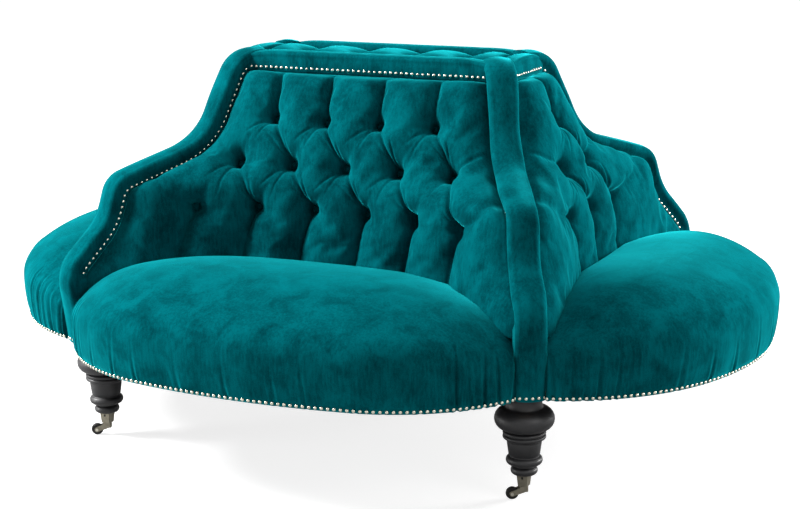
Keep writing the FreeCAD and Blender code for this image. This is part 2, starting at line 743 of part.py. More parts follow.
def make_top():
    low = tower_height - border_height
    hx, hy = tower_half_length + wing_half, tower_half_depth + wing_half
    board = Part.makeBox(2 * (tower_half_length + top_board_overhang), 2 * (tower_half_depth + top_board_overhang), top_board_thickness - wood_gap,
                         V(-tower_half_length - top_board_overhang, -tower_half_depth - top_board_overhang, low - top_board_thickness))
    export(board, "top_board")
    ring = rounded_plate(hx, hy, wing_half, low).extrude(V(0, 0, border_height))
    ring = ring.makeFillet(border_edge_radius, [e for e in ring.Edges if all(abs(v.Z - tower_height) < 1e-6 for v in e.Vertexes)])
    ix, iy = hx - border_width, hy - border_width
    ring = ring.cut(rounded_plate(ix, iy, border_corner, low - 1).extrude(V(0, 0, border_height + 2)))
    lip = [e for e in ring.Edges if all(abs(v.Z - tower_height) < 1e-6 for v in e.Vertexes)
           and e.BoundBox.XMax <= ix + 1e-3 and e.BoundBox.XMin >= -ix - 1e-3 and e.BoundBox.YMax <= iy + 1e-3 and e.BoundBox.YMin >= -iy - 1e-3]
    ring = ring.makeFillet(border_inner_radius, lip)
    export(ring, "top_border")
    # Pad: sections across the tower, one arc for each pillow
    px, py = ix - cloth_gap, iy - cloth_gap
    s = long_button_spacing
    cuts = [-px, -1.5 * s, -0.5 * s, 0.5 * s, 1.5 * s, px]
    wires = []
    for part, lift in ((-1.0, 0.12), (-0.9, 0.55), (-0.55, 0.92), (0.0, 1.0), (0.55, 0.92), (0.9, 0.55), (1.0, 0.12)):
        y = py * part
        edges = []
        edge_z = tower_height - top_pad_drop
        for a, b in zip(cuts[:-1], cuts[1:]):
            edges.append(Part.Arc(V(a, y, edge_z), V((a + b) / 2, y, edge_z + top_pad_crown * lift), V(b, y, edge_z)).toShape())
        edges += [Part.LineSegment(V(px, y, edge_z), V(px, y, low)).toShape(), Part.LineSegment(V(px, y, low), V(-px, y, low)).toShape(),
                  Part.LineSegment(V(-px, y, low), V(-px, y, edge_z)).toShape()]
        wires.append(Part.Wire(edges))
    pad = upright(Part.makeLoft(wires, True, True))
    corner = rounded_plate(px, py, border_corner - cloth_gap, low - 1).extrude(V(0, 0, border_height + 2 * top_pad_crown))
    export(pad.common(corner).Solids[0], "top_pad")


# Dust cover under the base
def make_dust_cover():
    z = base_height - dust_cover_thickness - wood_gap
    plates = []
    for name, side, sign in SEATS:
        lobe = LONG_LOBE if side.long else SHORT_LOBE
        plates.append(side.place(lobe.plate(seat_skirt + 4.0, 0.0, side.f0, z, dust_cover_thickness), sign))
    middle = Part.makeBox(2 * tower_half_length, 2 * tower_half_depth, dust_cover_thickness, V(-tower_half_length, -tower_half_depth, z))
    sheet = middle.fuse(plates).removeSplitter()
    holes = []
    for name, sx, sy in CORNERS:
        axis = wing_point(leg_station, 0)
        holes.append(Part.makeCylinder(dust_cover_hole, 20, V(sx * axis.x, sy * axis.y, z - 10)))
    sheet = sheet.cut(Part.makeCompound(holes))
    export(max(sheet.Solids, key=lambda s: s.Volume), "dust_cover")


# Turned legs with square toes, and their hanger bolts
def make_legs():
    top = base_height - wood_gap
    r = [d / 2 for d in (leg_neck_diameter, leg_bun_diameter, leg_waist_diameter, leg_ring_diameter, leg_cone_top_diameter,
                         leg_cone_foot_diameter, leg_bead_diameter, leg_ankle_diameter, leg_foot_diameter)]
    neck, bun, waist, ring, cone1, cone0, bead, ankle, foot = r
    z0 = leg_foot_height
    # Heights above the foot of each turning
    foot_top, ankle_z, bead_low, bead_top = [z0 + v for v in (leg_foot_rise, leg_ankle_rise, leg_bead_low_rise, leg_bead_top_rise)]
    cone_low, cone_top, ring_low, ring_mid = [z0 + v for v in (leg_cone_low_rise, leg_cone_top_rise, leg_ring_low_rise, leg_ring_mid_rise)]
    ring_top, waist_z, bun_top = [z0 + v for v in (leg_ring_top_rise, leg_waist_rise, leg_bun_top_rise)]
    k = leg_round

    def line(a, b):
        return Part.LineSegment(V(a[0], 0, a[1]), V(b[0], 0, b[1])).toShape()

    def arc(a, m, b):
        return Part.Arc(V(a[0], 0, a[1]), V(m[0], 0, m[1]), V(b[0], 0, b[1])).toShape()

    profile = [
        line((0, z0), (foot - k, z0)),
        arc((foot - k, z0), (foot, (z0 + foot_top) / 2), (foot - k, foot_top)),
        arc((foot - k, foot_top), (ankle - 0.8 * k, (foot_top + ankle_z) / 2), (ankle, ankle_z)),
        line((ankle, ankle_z), (bead - 1.3 * k, bead_low)),
        arc((bead - 1.3 * k, bead_low), (bead, (bead_low + bead_top) / 2), (bead - 1.3 * k, bead_top)),
        line((bead - 1.3 * k, bead_top), (cone0, cone_low)),
        line((cone0, cone_low), (cone1, cone_top)),
        line((cone1, cone_top), (ring - 0.8 * k, ring_low)),
        arc((ring - 0.8 * k, ring_low), (ring, (ring_low + ring_mid) / 2), (ring - 0.7 * k, ring_mid)),
        arc((ring - 0.7 * k, ring_mid), (ring, (ring_mid + ring_top) / 2), (ring - 0.8 * k, ring_top)),
        line((ring - 0.8 * k, ring_top), (waist, waist_z)),
        arc((waist, waist_z), (bun, (waist_z * 0.58 + bun_top * 0.42)), (neck - 0.7 * k, bun_top)),
        arc((neck - 0.7 * k, bun_top), (neck - 1.3 * k, (bun_top + top - k) / 2), (neck, top - k)),
        line((neck, top - k), (neck, top)),
        line((neck, top), (0, top)),
        line((0, top), (0, z0))]
    turned = Part.Face(Part.Wire(profile)).revolve(V(0, 0, 0), V(0, 0, 1), 360)
    # Square toe inside the caster cup
    inner_top = cup_top_width - 2 * cup_wall - 2 * wood_gap
    floor = cup_foot_height + cup_floor + rivet_height + swivel_end_gap + 1.0
    inner_low = cup_width(floor) - 2 * cup_wall - 2 * wood_gap
    toe = frustum(inner_top, z0 + 1.0, inner_low, floor)
    leg = turned.fuse(toe).removeSplitter()
    leg = leg.cut(Part.makeCylinder(bolt_diameter / 2 + wood_gap, bolt_reach + 1, V(0, 0, top - bolt_reach)))
    bolts = []
    for name, sx, sy in CORNERS:
        axis = wing_point(leg_station, 0)
        at = V(sx * axis.x, sy * axis.y, 0)
        export(leg.translated(at), "leg_" + name)
        bolts.append(Part.makeCylinder(bolt_diameter / 2, 2 * bolt_reach - 2, at + V(0, 0, base_height - bolt_reach + 1)))
    export(Part.makeCompound(bolts), "leg_bolts")


# Casters
def cup_width(z):
    t = (z - cup_foot_height) / (leg_foot_height - cup_foot_height)
    return cup_foot_width + (cup_top_width - cup_foot_width) * t


def square(width, z):
    h = width / 2
    pts = [V(-h, -h, z), V(h, -h, z), V(h, h, z), V(-h, h, z)]
    return Part.makePolygon(pts + pts[:1])


def frustum(w1, z1, w0, z0):
    return upright(Part.makeLoft([square(w0, z0), square(w1, z1)], True, True))


def make_casters():
    cup_top = leg_foot_height - wood_gap
    pocket = cup_foot_height + cup_floor
    cup = frustum(cup_width(cup_top), cup_top, cup_foot_width, cup_foot_height)
    cup = cup.cut(frustum(cup_width(cup_top + 1) - 2 * cup_wall, cup_top + 1, cup_width(pocket) - 2 * cup_wall, pocket))
    cup = cup.cut(Part.makeCylinder(stem_diameter / 2 + swivel_clearance, cup_floor + 2, V(0, 0, cup_foot_height - 1)))
    # Fork: crown block with riveted stem, and two cheeks down to the axle; it trails along +x here
    axle_z = wheel_diameter / 2
    crown_top = cup_foot_height - swivel_end_gap
    crown_low = crown_top - fork_height
    half = fork_width / 2
    crown = Part.makeBox(fork_length, fork_width, fork_height, V(-fork_length / 2, -half, crown_low))
    crown = crown.makeFillet(4.0, [e for e in crown.Edges if abs(e.Vertexes[0].Z - e.Vertexes[-1].Z) > 1.0])
    stem = Part.makeCylinder(stem_diameter / 2, cup_floor + 2 * swivel_end_gap + 1.0, V(0, 0, crown_top - 1.0))
    rivet = Part.makeCylinder(rivet_diameter / 2, rivet_height, V(0, 0, pocket + swivel_end_gap))
    fork = crown.fuse([stem, rivet])
    boss = axle_boss_diameter / 2
    for y in (-half, half - cheek_thickness):
        pts = [(-fork_length / 2 + 5, crown_low), (fork_length / 2 - 5, crown_top - 1.5), (caster_trail + boss * 0.6, axle_z + boss * 0.8),
               (caster_trail - boss * 0.6, axle_z - boss * 0.8)]
        face = Part.Face(Part.makePolygon([V(px, y, pz) for px, pz in pts + pts[:1]]))
        cheek = face.extrude(V(0, cheek_thickness, 0)).fuse(Part.makeCylinder(boss, cheek_thickness, V(caster_trail, y, axle_z), V(0, 1, 0)))
        fork = fork.fuse(cheek)
    fork = fork.removeSplitter()
    fork = fork.cut(Part.makeCylinder(axle_diameter / 2 + axle_fit, fork_width + 4, V(caster_trail, -half - 2, axle_z), V(0, 1, 0)))
    axle = Part.makeCylinder(axle_diameter / 2, fork_width + 2 * swivel_end_gap, V(caster_trail, -half - swivel_end_gap, axle_z), V(0, 1, 0))
    for y, out in ((-half - swivel_end_gap, -1), (half + swivel_end_gap, 1)):
        axle = axle.fuse(Part.makeCylinder(axle_diameter / 2 + 1.2, 1.2, V(caster_trail, y, axle_z), V(0, out, 0)))
    axle = axle.removeSplitter()
    # Wheel: rounded tread, raised hub
    w, rw = wheel_width / 2, wheel_diameter / 2
    bore = axle_diameter / 2 + wheel_clearance
    hub_w = half - cheek_thickness - wheel_side_gap
    pts = [(bore, -hub_w), (bore + 3, -hub_w), (bore + 3, -w), (rw - 2, -w)]
    edges = [Part.LineSegment(V(a[0], a[1], 0), V(b[0], b[1], 0)).toShape() for a, b in zip(pts[:-1], pts[1:])]
    edges.append(Part.Arc(V(rw - 2, -w, 0), V(rw, 0, 0), V(rw - 2, w, 0)).toShape())
    back = [(rw - 2, w), (bore + 3, w), (bore + 3, hub_w), (bore, hub_w), (bore, -hub_w)]
    edges += [Part.LineSegment(V(a[0], a[1], 0), V(b[0], b[1], 0)).toShape() for a, b in zip(back[:-1], back[1:])]
    wheel = Part.Face(Part.Wire(edges)).revolve(V(0, 0, 0), V(0, 1, 0), 360)
    wheel.translate(V(caster_trail, 0, axle_z))
    for name, sx, sy in CORNERS:
        axis = wing_point(leg_station, 0)
        at = V(sx * axis.x, sy * axis.y, 0)
        export(cup.translated(at), "caster_cup_" + name)
        for piece, node in ((fork, "caster_fork_"), (axle, "caster_axle_"), (wheel, "caster_wheel_")):
            turned = piece.copy()
            turned.rotate(V(0, 0, 0), V(0, 0, 1), caster_angle)
            export(turned.translated(at), node + name)


make_legs()
make_casters()
make_blocks()
make_rails()
make_straps()
make_dust_cover()
make_wings()
make_back_boards()
make_seats()
make_back_pads()
make_top()
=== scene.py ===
"""Looks of the four-seat buttoned settee: velvet over a timber frame, turned legs and brass casters."""
import math
from collections import namedtuple
import bmesh
import bpy
import numpy as np
from mathutils import Matrix, Vector


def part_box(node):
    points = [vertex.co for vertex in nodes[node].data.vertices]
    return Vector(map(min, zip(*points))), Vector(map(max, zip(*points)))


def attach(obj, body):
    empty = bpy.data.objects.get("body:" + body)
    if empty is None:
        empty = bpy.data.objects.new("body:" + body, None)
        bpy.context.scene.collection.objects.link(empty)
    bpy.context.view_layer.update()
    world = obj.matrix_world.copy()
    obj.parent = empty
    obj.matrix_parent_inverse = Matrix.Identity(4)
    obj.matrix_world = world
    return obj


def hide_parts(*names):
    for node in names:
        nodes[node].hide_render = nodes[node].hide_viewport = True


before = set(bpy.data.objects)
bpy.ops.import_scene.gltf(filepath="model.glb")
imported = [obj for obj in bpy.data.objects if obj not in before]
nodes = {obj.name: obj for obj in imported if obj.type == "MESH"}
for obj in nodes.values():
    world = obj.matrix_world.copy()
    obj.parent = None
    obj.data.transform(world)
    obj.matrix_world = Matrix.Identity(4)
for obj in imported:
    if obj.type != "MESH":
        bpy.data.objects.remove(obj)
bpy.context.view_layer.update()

# Timber frame: planed beech rails, corner blocks, wing boards and back boards under a plywood top.
# The pieces are butted, glued and screwed, and the stuffing hides all but a little underneath.
BEECH_DARK, BEECH_LIGHT = (0.30, 0.17, 0.08), (0.60, 0.42, 0.24)


def fill(node, inputs):
    """Sets a node's inputs by name, where an underscore stands for a space."""
    for key, value in inputs.items():
        node.inputs[key.replace("_", " ")].default_value = value


def add(tree, kind, settings=None, **inputs):
    """A node with its settings and its unlinked inputs filled in."""
    node = tree.nodes.new(kind)
    for key, value in (settings or {}).items():
        setattr(node, key, value)
    fill(node, inputs)
    return node


def new_group(name, inputs, outputs, kind="ShaderNodeTree"):
    """A node group from inputs of (name, type, default) and outputs of (name, type)."""
    tree = bpy.data.node_groups.new(name, kind)
    for label, socket_type, value in inputs:
        socket = tree.interface.new_socket(label, in_out="INPUT", socket_type="NodeSocket" + socket_type)
        if value is not None:
            socket.default_value = value
    for label, socket_type in outputs:
        tree.interface.new_socket(label, in_out="OUTPUT", socket_type="NodeSocket" + socket_type)
    return tree, tree.nodes.new("NodeGroupInput"), tree.nodes.new("NodeGroupOutput")


def use_group(tree, group, **inputs):
    return add(tree, "ShaderNodeGroup", {"node_tree": group}, **inputs)


def new_finish(name, **inputs):
    """A material, its tree and its Principled BSDF, whose constant inputs are set on its own sockets."""
    finish = bpy.data.materials.new(name)
    finish.use_nodes = True
    shader = finish.node_tree.nodes["Principled BSDF"]
    fill(shader, inputs)
    return finish, finish.node_tree, shader


def tint(tree, shader, mask, dark, light):
    """A base colour that runs from dark to light with the mask."""
    mix = add(tree, "ShaderNodeMix", {"data_type": "RGBA"}, A=(*dark, 1), B=(*light, 1))
    tree.links.new(mask, mix.inputs["Factor"])
    tree.links.new(mix.outputs["Result"], shader.inputs["Base Color"])


def bump(tree, shader, height, strength, distance):
    node = add(tree, "ShaderNodeBump", None, Strength=strength, Distance=distance)
    tree.links.new(height, node.inputs["Height"])
    tree.links.new(node.outputs["Normal"], shader.inputs["Normal"])


def make_grain():
    """Streaks of wood grain, drawn out along the axis with the smallest scale."""
    tree, given, out = new_group("wood grain", [("Scale", "Vector", (30.0, 30.0, 3.0))],
                                 [("Grain", "Float"), ("Pores", "Float")])
    at = add(tree, "ShaderNodeTexCoord")
    size = add(tree, "ShaderNodeVectorMath", {"operation": "MULTIPLY"})
    tree.links.new(at.outputs["Object"], size.inputs[0])
    tree.links.new(given.outputs["Scale"], size.inputs[1])
    rings = add(tree, "ShaderNodeTexNoise", None, Scale=1.0, Detail=5.0, Roughness=0.6, Distortion=0.6)
    pores = add(tree, "ShaderNodeTexNoise", None, Scale=7.0, Detail=2.0, Roughness=0.5)
    for noise, name in ((rings, "Grain"), (pores, "Pores")):
        tree.links.new(size.outputs["Vector"], noise.inputs["Vector"])
        tree.links.new(noise.outputs["Fac"], out.inputs[name])
    return tree


def dress(finish, *starts):
    """Gives a finish to every CAD node whose name starts with one of these words."""
    for name, obj in nodes.items():
        if name.startswith(starts):
            for slot in obj.material_slots:
                slot.material = finish


grain = make_grain()
beech, tree, shader = new_finish("planed beech", Roughness=0.6)
streaks = use_group(tree, grain, Scale=(26.0, 26.0, 5.0))
tint(tree, shader, streaks.outputs["Grain"], BEECH_DARK, BEECH_LIGHT)
bump(tree, shader, streaks.outputs["Pores"], 0.25, 0.0008)
dress(beech, "wing_board", "back_board", "corner_block", "seat_rail", "inner_rail", "top_board")

# Jute webbing under the seats, the black bottoming cloth and the zinc-plated hanger bolts.
# The straps are tacked to the rails, the cloth is tacked under the base, the bolts screw into the blocks.
JUTE_DARK, JUTE_LIGHT, JUTE_THREADS = (0.20, 0.14, 0.08), (0.42, 0.33, 0.21), 160.0
BLACK_DARK, BLACK_LIGHT, CLOTH_THREADS = (0.008, 0.008, 0.009), (0.022, 0.022, 0.024), 420.0
ZINC_DARK, ZINC_LIGHT = (0.42, 0.42, 0.40), (0.68, 0.68, 0.66)


def make_weave():
    """Over-and-under threads as a height, with a slub that varies the colour."""
    tree, given, out = new_group("plain weave", [("Threads", "Float", 400.0)],
                                 [("Height", "Float"), ("Slub", "Float")])
    at = add(tree, "ShaderNodeTexCoord")
    over = add(tree, "ShaderNodeMath", {"operation": "MAXIMUM"})
    for i, axis in enumerate("XY"):
        bands = {"wave_type": "BANDS", "bands_direction": axis, "wave_profile": "SIN"}
        wave = add(tree, "ShaderNodeTexWave", bands, Distortion=0.4, Detail=1.0)
        tree.links.new(at.outputs["Object"], wave.inputs["Vector"])
        tree.links.new(given.outputs["Threads"], wave.inputs["Scale"])
        tree.links.new(wave.outputs["Fac"], over.inputs[i])
    slub = add(tree, "ShaderNodeTexNoise", None, Scale=55.0, Detail=4.0)
    tree.links.new(at.outputs["Object"], slub.inputs["Vector"])
    tree.links.new(over.outputs["Value"], out.inputs["Height"])
    tree.links.new(slub.outputs["Fac"], out.inputs["Slub"])
    return tree


weave = make_weave()


def cloth_finish(name, count, dark, light):
    finish, tree, shader = new_finish(name, Roughness=0.9)
    threads = use_group(tree, weave, Threads=count)
    tint(tree, shader, threads.outputs["Slub"], dark, light)
    bump(tree, shader, threads.outputs["Height"], 0.5, 0.0006)
    return finish


def make_tarnish():
    """Cloudy patches and fine scuffs on metal."""
    tree, given, out = new_group("tarnish", [("Patch", "Float", 60.0), ("Scuff", "Float", 900.0)],
                                 [("Cloud", "Float"), ("Scuffs", "Float")])
    at = add(tree, "ShaderNodeTexCoord")
    for size, name, detail in (("Patch", "Cloud", 6.0), ("Scuff", "Scuffs", 3.0)):
        noise = add(tree, "ShaderNodeTexNoise", None, Detail=detail, Roughness=0.62)
        tree.links.new(at.outputs["Object"], noise.inputs["Vector"])
        tree.links.new(given.outputs[size], noise.inputs["Scale"])
        tree.links.new(noise.outputs["Fac"], out.inputs[name])
    return tree


tarnish = make_tarnish()


def roughen(tree, shader, mask, low, high):
    """A roughness that runs from low to high with the mask."""
    spread = add(tree, "ShaderNodeMapRange", None, To_Min=low, To_Max=high)
    tree.links.new(mask, spread.inputs["Value"])
    tree.links.new(spread.outputs["Result"], shader.inputs["Roughness"])


def metal_finish(name, dark, light, smooth, rough, patch=60.0, metallic=1.0):
    """A metal whose colour clouds from dark to light and whose scuffs run from smooth to rough."""
    finish, tree, shader = new_finish(name, Metallic=metallic)
    marks = use_group(tree, tarnish, Patch=patch)
    tint(tree, shader, marks.outputs["Cloud"], dark, light)
    roughen(tree, shader, marks.outputs["Scuffs"], smooth, rough)
    bump(tree, shader, marks.outputs["Scuffs"], 0.15, 0.0003)
    return finish


dress(cloth_finish("jute webbing", JUTE_THREADS, JUTE_DARK, JUTE_LIGHT), "seat_webbing")
dress(cloth_finish("black bottoming cloth", CLOTH_THREADS, BLACK_DARK, BLACK_LIGHT), "dust_cover")
dress(metal_finish("zinc plate", ZINC_DARK, ZINC_LIGHT, 0.25, 0.5), "leg_bolts")

# Legs: beech turned to a bun, two rings, a tapered drum and beads, ebonised and satin lacquered.
# Each screws up to a corner block and ends in a square toe that sits in the caster cup.
CORNERS = {"near_left": (-1, -1), "near_right": (1, -1), "far_left": (-1, 1), "far_right": (1, 1)}
LEG_TURNING = (
    (0.0, 0.062), (0.0250, 0.062),
    ("arc", 0.0310, 0.071, 0.0250, 0.080), ("arc", 0.0237, 0.082, 0.0285, 0.084), (0.0342, 0.086),
    ("arc", 0.0420, 0.096, 0.0342, 0.106), ("arc", 0.0345, 0.109, 0.0362, 0.112), (0.0398, 0.138),
    ("arc", 0.0405, 0.143, 0.0447, 0.147), ("arc", 0.0495, 0.152, 0.0453, 0.157),
    ("arc", 0.0495, 0.1615, 0.0447, 0.166), ("arc", 0.0420, 0.1675, 0.0420, 0.169),
    ("arc", 0.0685, 0.1905, 0.0438, 0.220), ("arc", 0.0402, 0.236, 0.0480, 0.2518),
    (0.0480, 0.2578), (0.0, 0.2578))
LEG_SEGMENTS, ARC_STEPS = 72, 12
TOE_RINGS = (0.0095, 0.0405), (0.0111, 0.0635)
TOE_CORNERS = (-1, -1), (1, -1), (1, 1), (-1, 1)
EBONY_DARK, EBONY_LIGHT = (0.008, 0.008, 0.009), (0.022, 0.022, 0.024)


def arc_points(a, m, b, count):
    """Points on the circle through a, m and b, after a."""
    (ax, ay), (mx, my), (bx, by) = a, m, b
    steps = [(i + 1) / count for i in range(count)]
    d = 2 * (ax * (my - by) + mx * (by - ay) + bx * (ay - my))
    if abs(d) < 1e-12:
        return [(ax + (bx - ax) * t, ay + (by - ay) * t) for t in steps]
    sa, sm, sb = ax * ax + ay * ay, mx * mx + my * my, bx * bx + by * by
    cx = (sa * (my - by) + sm * (by - ay) + sb * (ay - my)) / d
    cy = (sa * (bx - mx) + sm * (ax - bx) + sb * (mx - ax)) / d
    r = math.hypot(ax - cx, ay - cy)
    start, middle, end = [math.atan2(y - cy, x - cx) for x, y in (a, m, b)]
    turn = (end - start) % math.tau
    if (middle - start) % math.tau > turn:
        turn -= math.tau
    return [(cx + r * math.cos(start + turn * t), cy + r * math.sin(start + turn * t)) for t in steps]


def turned_profile(turning):
    """Points of (radius, height): a mark is a corner, or an arc through one point to another."""
    points = []
    for mark in turning:
        if mark[0] == "arc":
            points += arc_points(points[-1], mark[1:3], mark[3:5], ARC_STEPS)
        else:
            points.append(mark)
    return points


def lathe(profile, around):
    """Rings of points for a profile of (radius, height) turned about Z."""
    turn = np.linspace(0, math.tau, around, endpoint=False)
    return np.array([[(r * math.cos(t), r * math.sin(t), h) for t in turn] for r, h in profile])


def skin(rings):
    """Vertices and faces through rings of equal count, closed round each ring and capped at both ends."""
    count, around = rings.shape[:2]
    verts = list(map(tuple, rings.reshape(-1, 3))) + [tuple(rings[0].mean(0)), tuple(rings[-1].mean(0))]
    i, j = np.meshgrid(np.arange(count - 1), np.arange(around), indexing="ij")
    a, b = i * around + j, i * around + (j + 1) % around
    faces = np.stack([a, b, b + around, a + around], -1).reshape(-1, 4).tolist()
    last = (count - 1) * around
    for k in range(around):
        faces.append((count * around, (k + 1) % around, k))
        faces.append((count * around + 1, last + k, last + (k + 1) % around))
    return verts, faces


def fix(obj, stands_for):
    """Fixes a finished piece to the settee, in place of the CAD nodes that it stands for."""
    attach(obj, "settee")
    if stands_for:
        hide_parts(*stands_for)


def piece(name, shape, finish, slot, *stands_for):
    """A smooth closed piece of the settee, with its place in its mesh."""
    mesh = bpy.data.meshes.new(name)
    mesh.from_pydata(shape[0], [], shape[1])
    form = bmesh.new()
    form.from_mesh(mesh)
    bmesh.ops.remove_doubles(form, verts=form.verts, dist=1e-6)
    bmesh.ops.recalc_face_normals(form, faces=form.faces)
    form.to_mesh(mesh)
    form.free()
    mesh.shade_smooth()
    mesh.materials.append(finish)
    obj = bpy.data.objects.new(name, mesh)
    bpy.context.collection.objects.link(obj)
    fix(obj, stands_for)
    return obj


def plan_middle(node):
    """The middle of a CAD node in plan."""
    low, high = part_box(node)
    return (low.x + high.x) / 2, (low.y + high.y) / 2


ebony, tree, shader = new_finish("ebonised lacquer", Specular_IOR_Level=0.45,
                                 Coat_Weight=0.15, Coat_Roughness=0.35)
streaks = use_group(tree, grain, Scale=(90.0, 90.0, 9.0))
tint(tree, shader, streaks.outputs["Grain"], EBONY_DARK, EBONY_LIGHT)
roughen(tree, shader, streaks.outputs["Grain"], 0.42, 0.58)
bump(tree, shader, streaks.outputs["Pores"], 0.12, 0.0006)

leg_rings = lathe(turned_profile(LEG_TURNING), LEG_SEGMENTS)
toe_rings = np.array([[(x * half, y * half, z) for x, y in TOE_CORNERS] for half, z in TOE_RINGS])
for corner in CORNERS:
    axis = np.array([*plan_middle("leg_" + corner), 0.0])
    verts, faces = skin(leg_rings + axis)
    toe_verts, toe_faces = skin(toe_rings + axis)
    faces += [tuple(k + len(verts) for k in face) for face in toe_faces]
    piece("turned_leg_" + corner, (verts + toe_verts, faces), ebony, "black_wood", "leg_" + corner)

# Casters: square brass cup on the leg's toe, swivel fork with a riveted stem, axle and iron wheel.
# Antiqued brass castings; round-headed iron screws through two faces of the cup pin it to the toe.
BRASS_DARK, BRASS_LIGHT = (0.130, 0.118, 0.088), (0.40, 0.37, 0.29)
WORN_DARK, WORN_LIGHT = (0.52, 0.49, 0.40), (0.86, 0.83, 0.74)
IRON_DARK, IRON_LIGHT = (0.010, 0.010, 0.010), (0.035, 0.034, 0.032)
CUP_HALF, SCREW_HEIGHT = 0.0128, 0.0535
SCREW_HEAD = dict(Head_Diameter=0.0062, Head_Height=0.0016, Segments=12, Rings=6)

iron = metal_finish("blackened iron", IRON_DARK, IRON_LIGHT, 0.42, 0.62, 90.0, metallic=0.6)
dress(metal_finish("antiqued brass", BRASS_DARK, BRASS_LIGHT, 0.36, 0.58, 70.0), "caster_cup", "caster_fork")
dress(metal_finish("worn brass", WORN_DARK, WORN_LIGHT, 0.24, 0.42, 120.0), "caster_axle")
dress(iron, "caster_wheel")


def make_domed_heads():
    """A Geometry Nodes tree that sets a small domed head on every point, turned to the point's facing."""
    tree, given, out = new_group("domed heads", [
        ("Points", "Geometry", None), ("Head Diameter", "Float", 0.0105), ("Head Height", "Float", 0.0036),
        ("Segments", "Int", 9), ("Rings", "Int", 5), ("Finish", "Material", None)],
        [("Heads", "Geometry")], "GeometryNodeTree")
    ball = add(tree, "GeometryNodeMeshUVSphere", None, Radius=1.0)
    half = add(tree, "ShaderNodeMath", {"operation": "MULTIPLY"})
    half.inputs[1].default_value = 0.5
    size = add(tree, "ShaderNodeCombineXYZ")
    form = add(tree, "GeometryNodeTransform")
    facing = add(tree, "GeometryNodeInputNamedAttribute", {"data_type": "FLOAT_VECTOR"}, Name="facing")
    turn = add(tree, "FunctionNodeAlignRotationToVector", {"axis": "Z"})
    spread = add(tree, "GeometryNodeInstanceOnPoints")
    real = add(tree, "GeometryNodeRealizeInstances")
    smooth = add(tree, "GeometryNodeSetShadeSmooth")
    finish = add(tree, "GeometryNodeSetMaterial")
    link = tree.links.new
    link(given.outputs["Segments"], ball.inputs["Segments"])
    link(given.outputs["Rings"], ball.inputs["Rings"])
    link(given.outputs["Head Diameter"], half.inputs[0])
    link(half.outputs["Value"], size.inputs["X"])
    link(half.outputs["Value"], size.inputs["Y"])
    link(given.outputs["Head Height"], size.inputs["Z"])
    link(ball.outputs["Mesh"], form.inputs["Geometry"])
    link(size.outputs["Vector"], form.inputs["Scale"])
    link(facing.outputs["Attribute"], turn.inputs["Vector"])
    link(given.outputs["Points"], spread.inputs["Points"])
    link(form.outputs["Geometry"], spread.inputs["Instance"])
    link(turn.outputs["Rotation"], spread.inputs["Rotation"])
    link(spread.outputs["Instances"], real.inputs["Geometry"])
    link(real.outputs["Geometry"], smooth.inputs["Geometry"])
    link(smooth.outputs["Geometry"], finish.inputs["Geometry"])
    link(given.outputs["Finish"], finish.inputs["Material"])
    link(finish.outputs["Geometry"], out.inputs["Heads"])
    return tree


domed_heads = make_domed_heads()


def set_heads(name, spots, facings, finish, slot, sizes, *stands_for):
    """One mesh of domed heads, on these points and turned to these directions."""
    mesh = bpy.data.meshes.new(name)
    mesh.from_pydata([tuple(s) for s in spots], [], [])
    facing = mesh.attributes.new("facing", "FLOAT_VECTOR", "POINT")
    facing.data.foreach_set("vector", np.asarray(facings, np.float32).ravel())
    obj = bpy.data.objects.new(name, mesh)
    bpy.context.collection.objects.link(obj)
    maker = obj.modifiers.new("heads", "NODES")
    maker.node_group = domed_heads
    values = dict(sizes, Finish=finish)
    for item in domed_heads.interface.items_tree:
        key = item.name.replace(" ", "_")
        if item.in_out == "INPUT" and key in values:
            maker[item.identifier] = values[key]
    made = bpy.data.meshes.new_from_object(obj.evaluated_get(bpy.context.evaluated_depsgraph_get()))
    made.name = name
    obj.modifiers.clear()
    obj.data = made
    fix(obj, stands_for)


spots, facings = [], []
for corner in CORNERS:
    x, y = plan_middle("caster_cup_" + corner)
    for side in (-1, 1):
        spots.append((x, y + side * CUP_HALF, SCREW_HEIGHT))
        facings.append((0, side, 0))
set_heads("cup_screws", spots, facings, iron, "steel", SCREW_HEAD)

# Seats: sprung and stuffed lobes of velvet, pulled down over the curved rails and tacked underneath.
# Each crowns near the middle of its depth; the cloth gathers in short pulls above the nails.
LONG, SHORT = True, False
SEATS = {LONG: ("front", "rear"), SHORT: ("left", "right")}
TOWER = 0.344, 0.100
WING_TURN, WING_HALF, SEAM_GAP = math.radians(60.2), 0.036, 0.0003
WING_COS, WING_SIN = math.cos(WING_TURN), math.sin(WING_TURN)
WING_SIDE = WING_HALF + SEAM_GAP
BASE, CUSHION_FLOOR, SEAT_END, SEAT_SKIRT = 0.258, 0.348, 0.538, 0.022
SEAT_SHAPES = {
    LONG: dict(reach=0.823, radius=1.660, corner=0.430, back=0.330, end_back=0.330,
               end_crowns=(0.434, 0.412), sections=330, seed=11),
    SHORT: dict(reach=0.993, radius=0.682, corner=0.508, back=0.588, end_back=0.550,
                end_crowns=(0.398, 0.398), sections=300, seed=23)}
CROWN, HEEL, BROW, BROW_DROP, BULGE, END_EASE = 0.494, 0.464, 0.364, 0.034, 0.011, 3.5
NOSE, END_NOSE, CROWN_STATION, END_FALL, HEEL_EDGE = 0.080, 0.052, 0.45, 0.007, 0.005
TURN_UNDER, SKIRT_FOOT, SKIRT_SWELL = 0.008, (0.001, 0.005), 0.72
END_FLATTENING, HEEL_BEND, STEEPEST_NOSE = 0.75, 0.293, 85.0
GATHER_START, GATHER_ZONE, GATHER_REST, GATHER_SPREAD = 0.012, 0.16, 0.35, 0.05
GATHER_WIDTH, GATHER_HEIGHT = (0.0036, 0.0056), (0.100, 0.150)
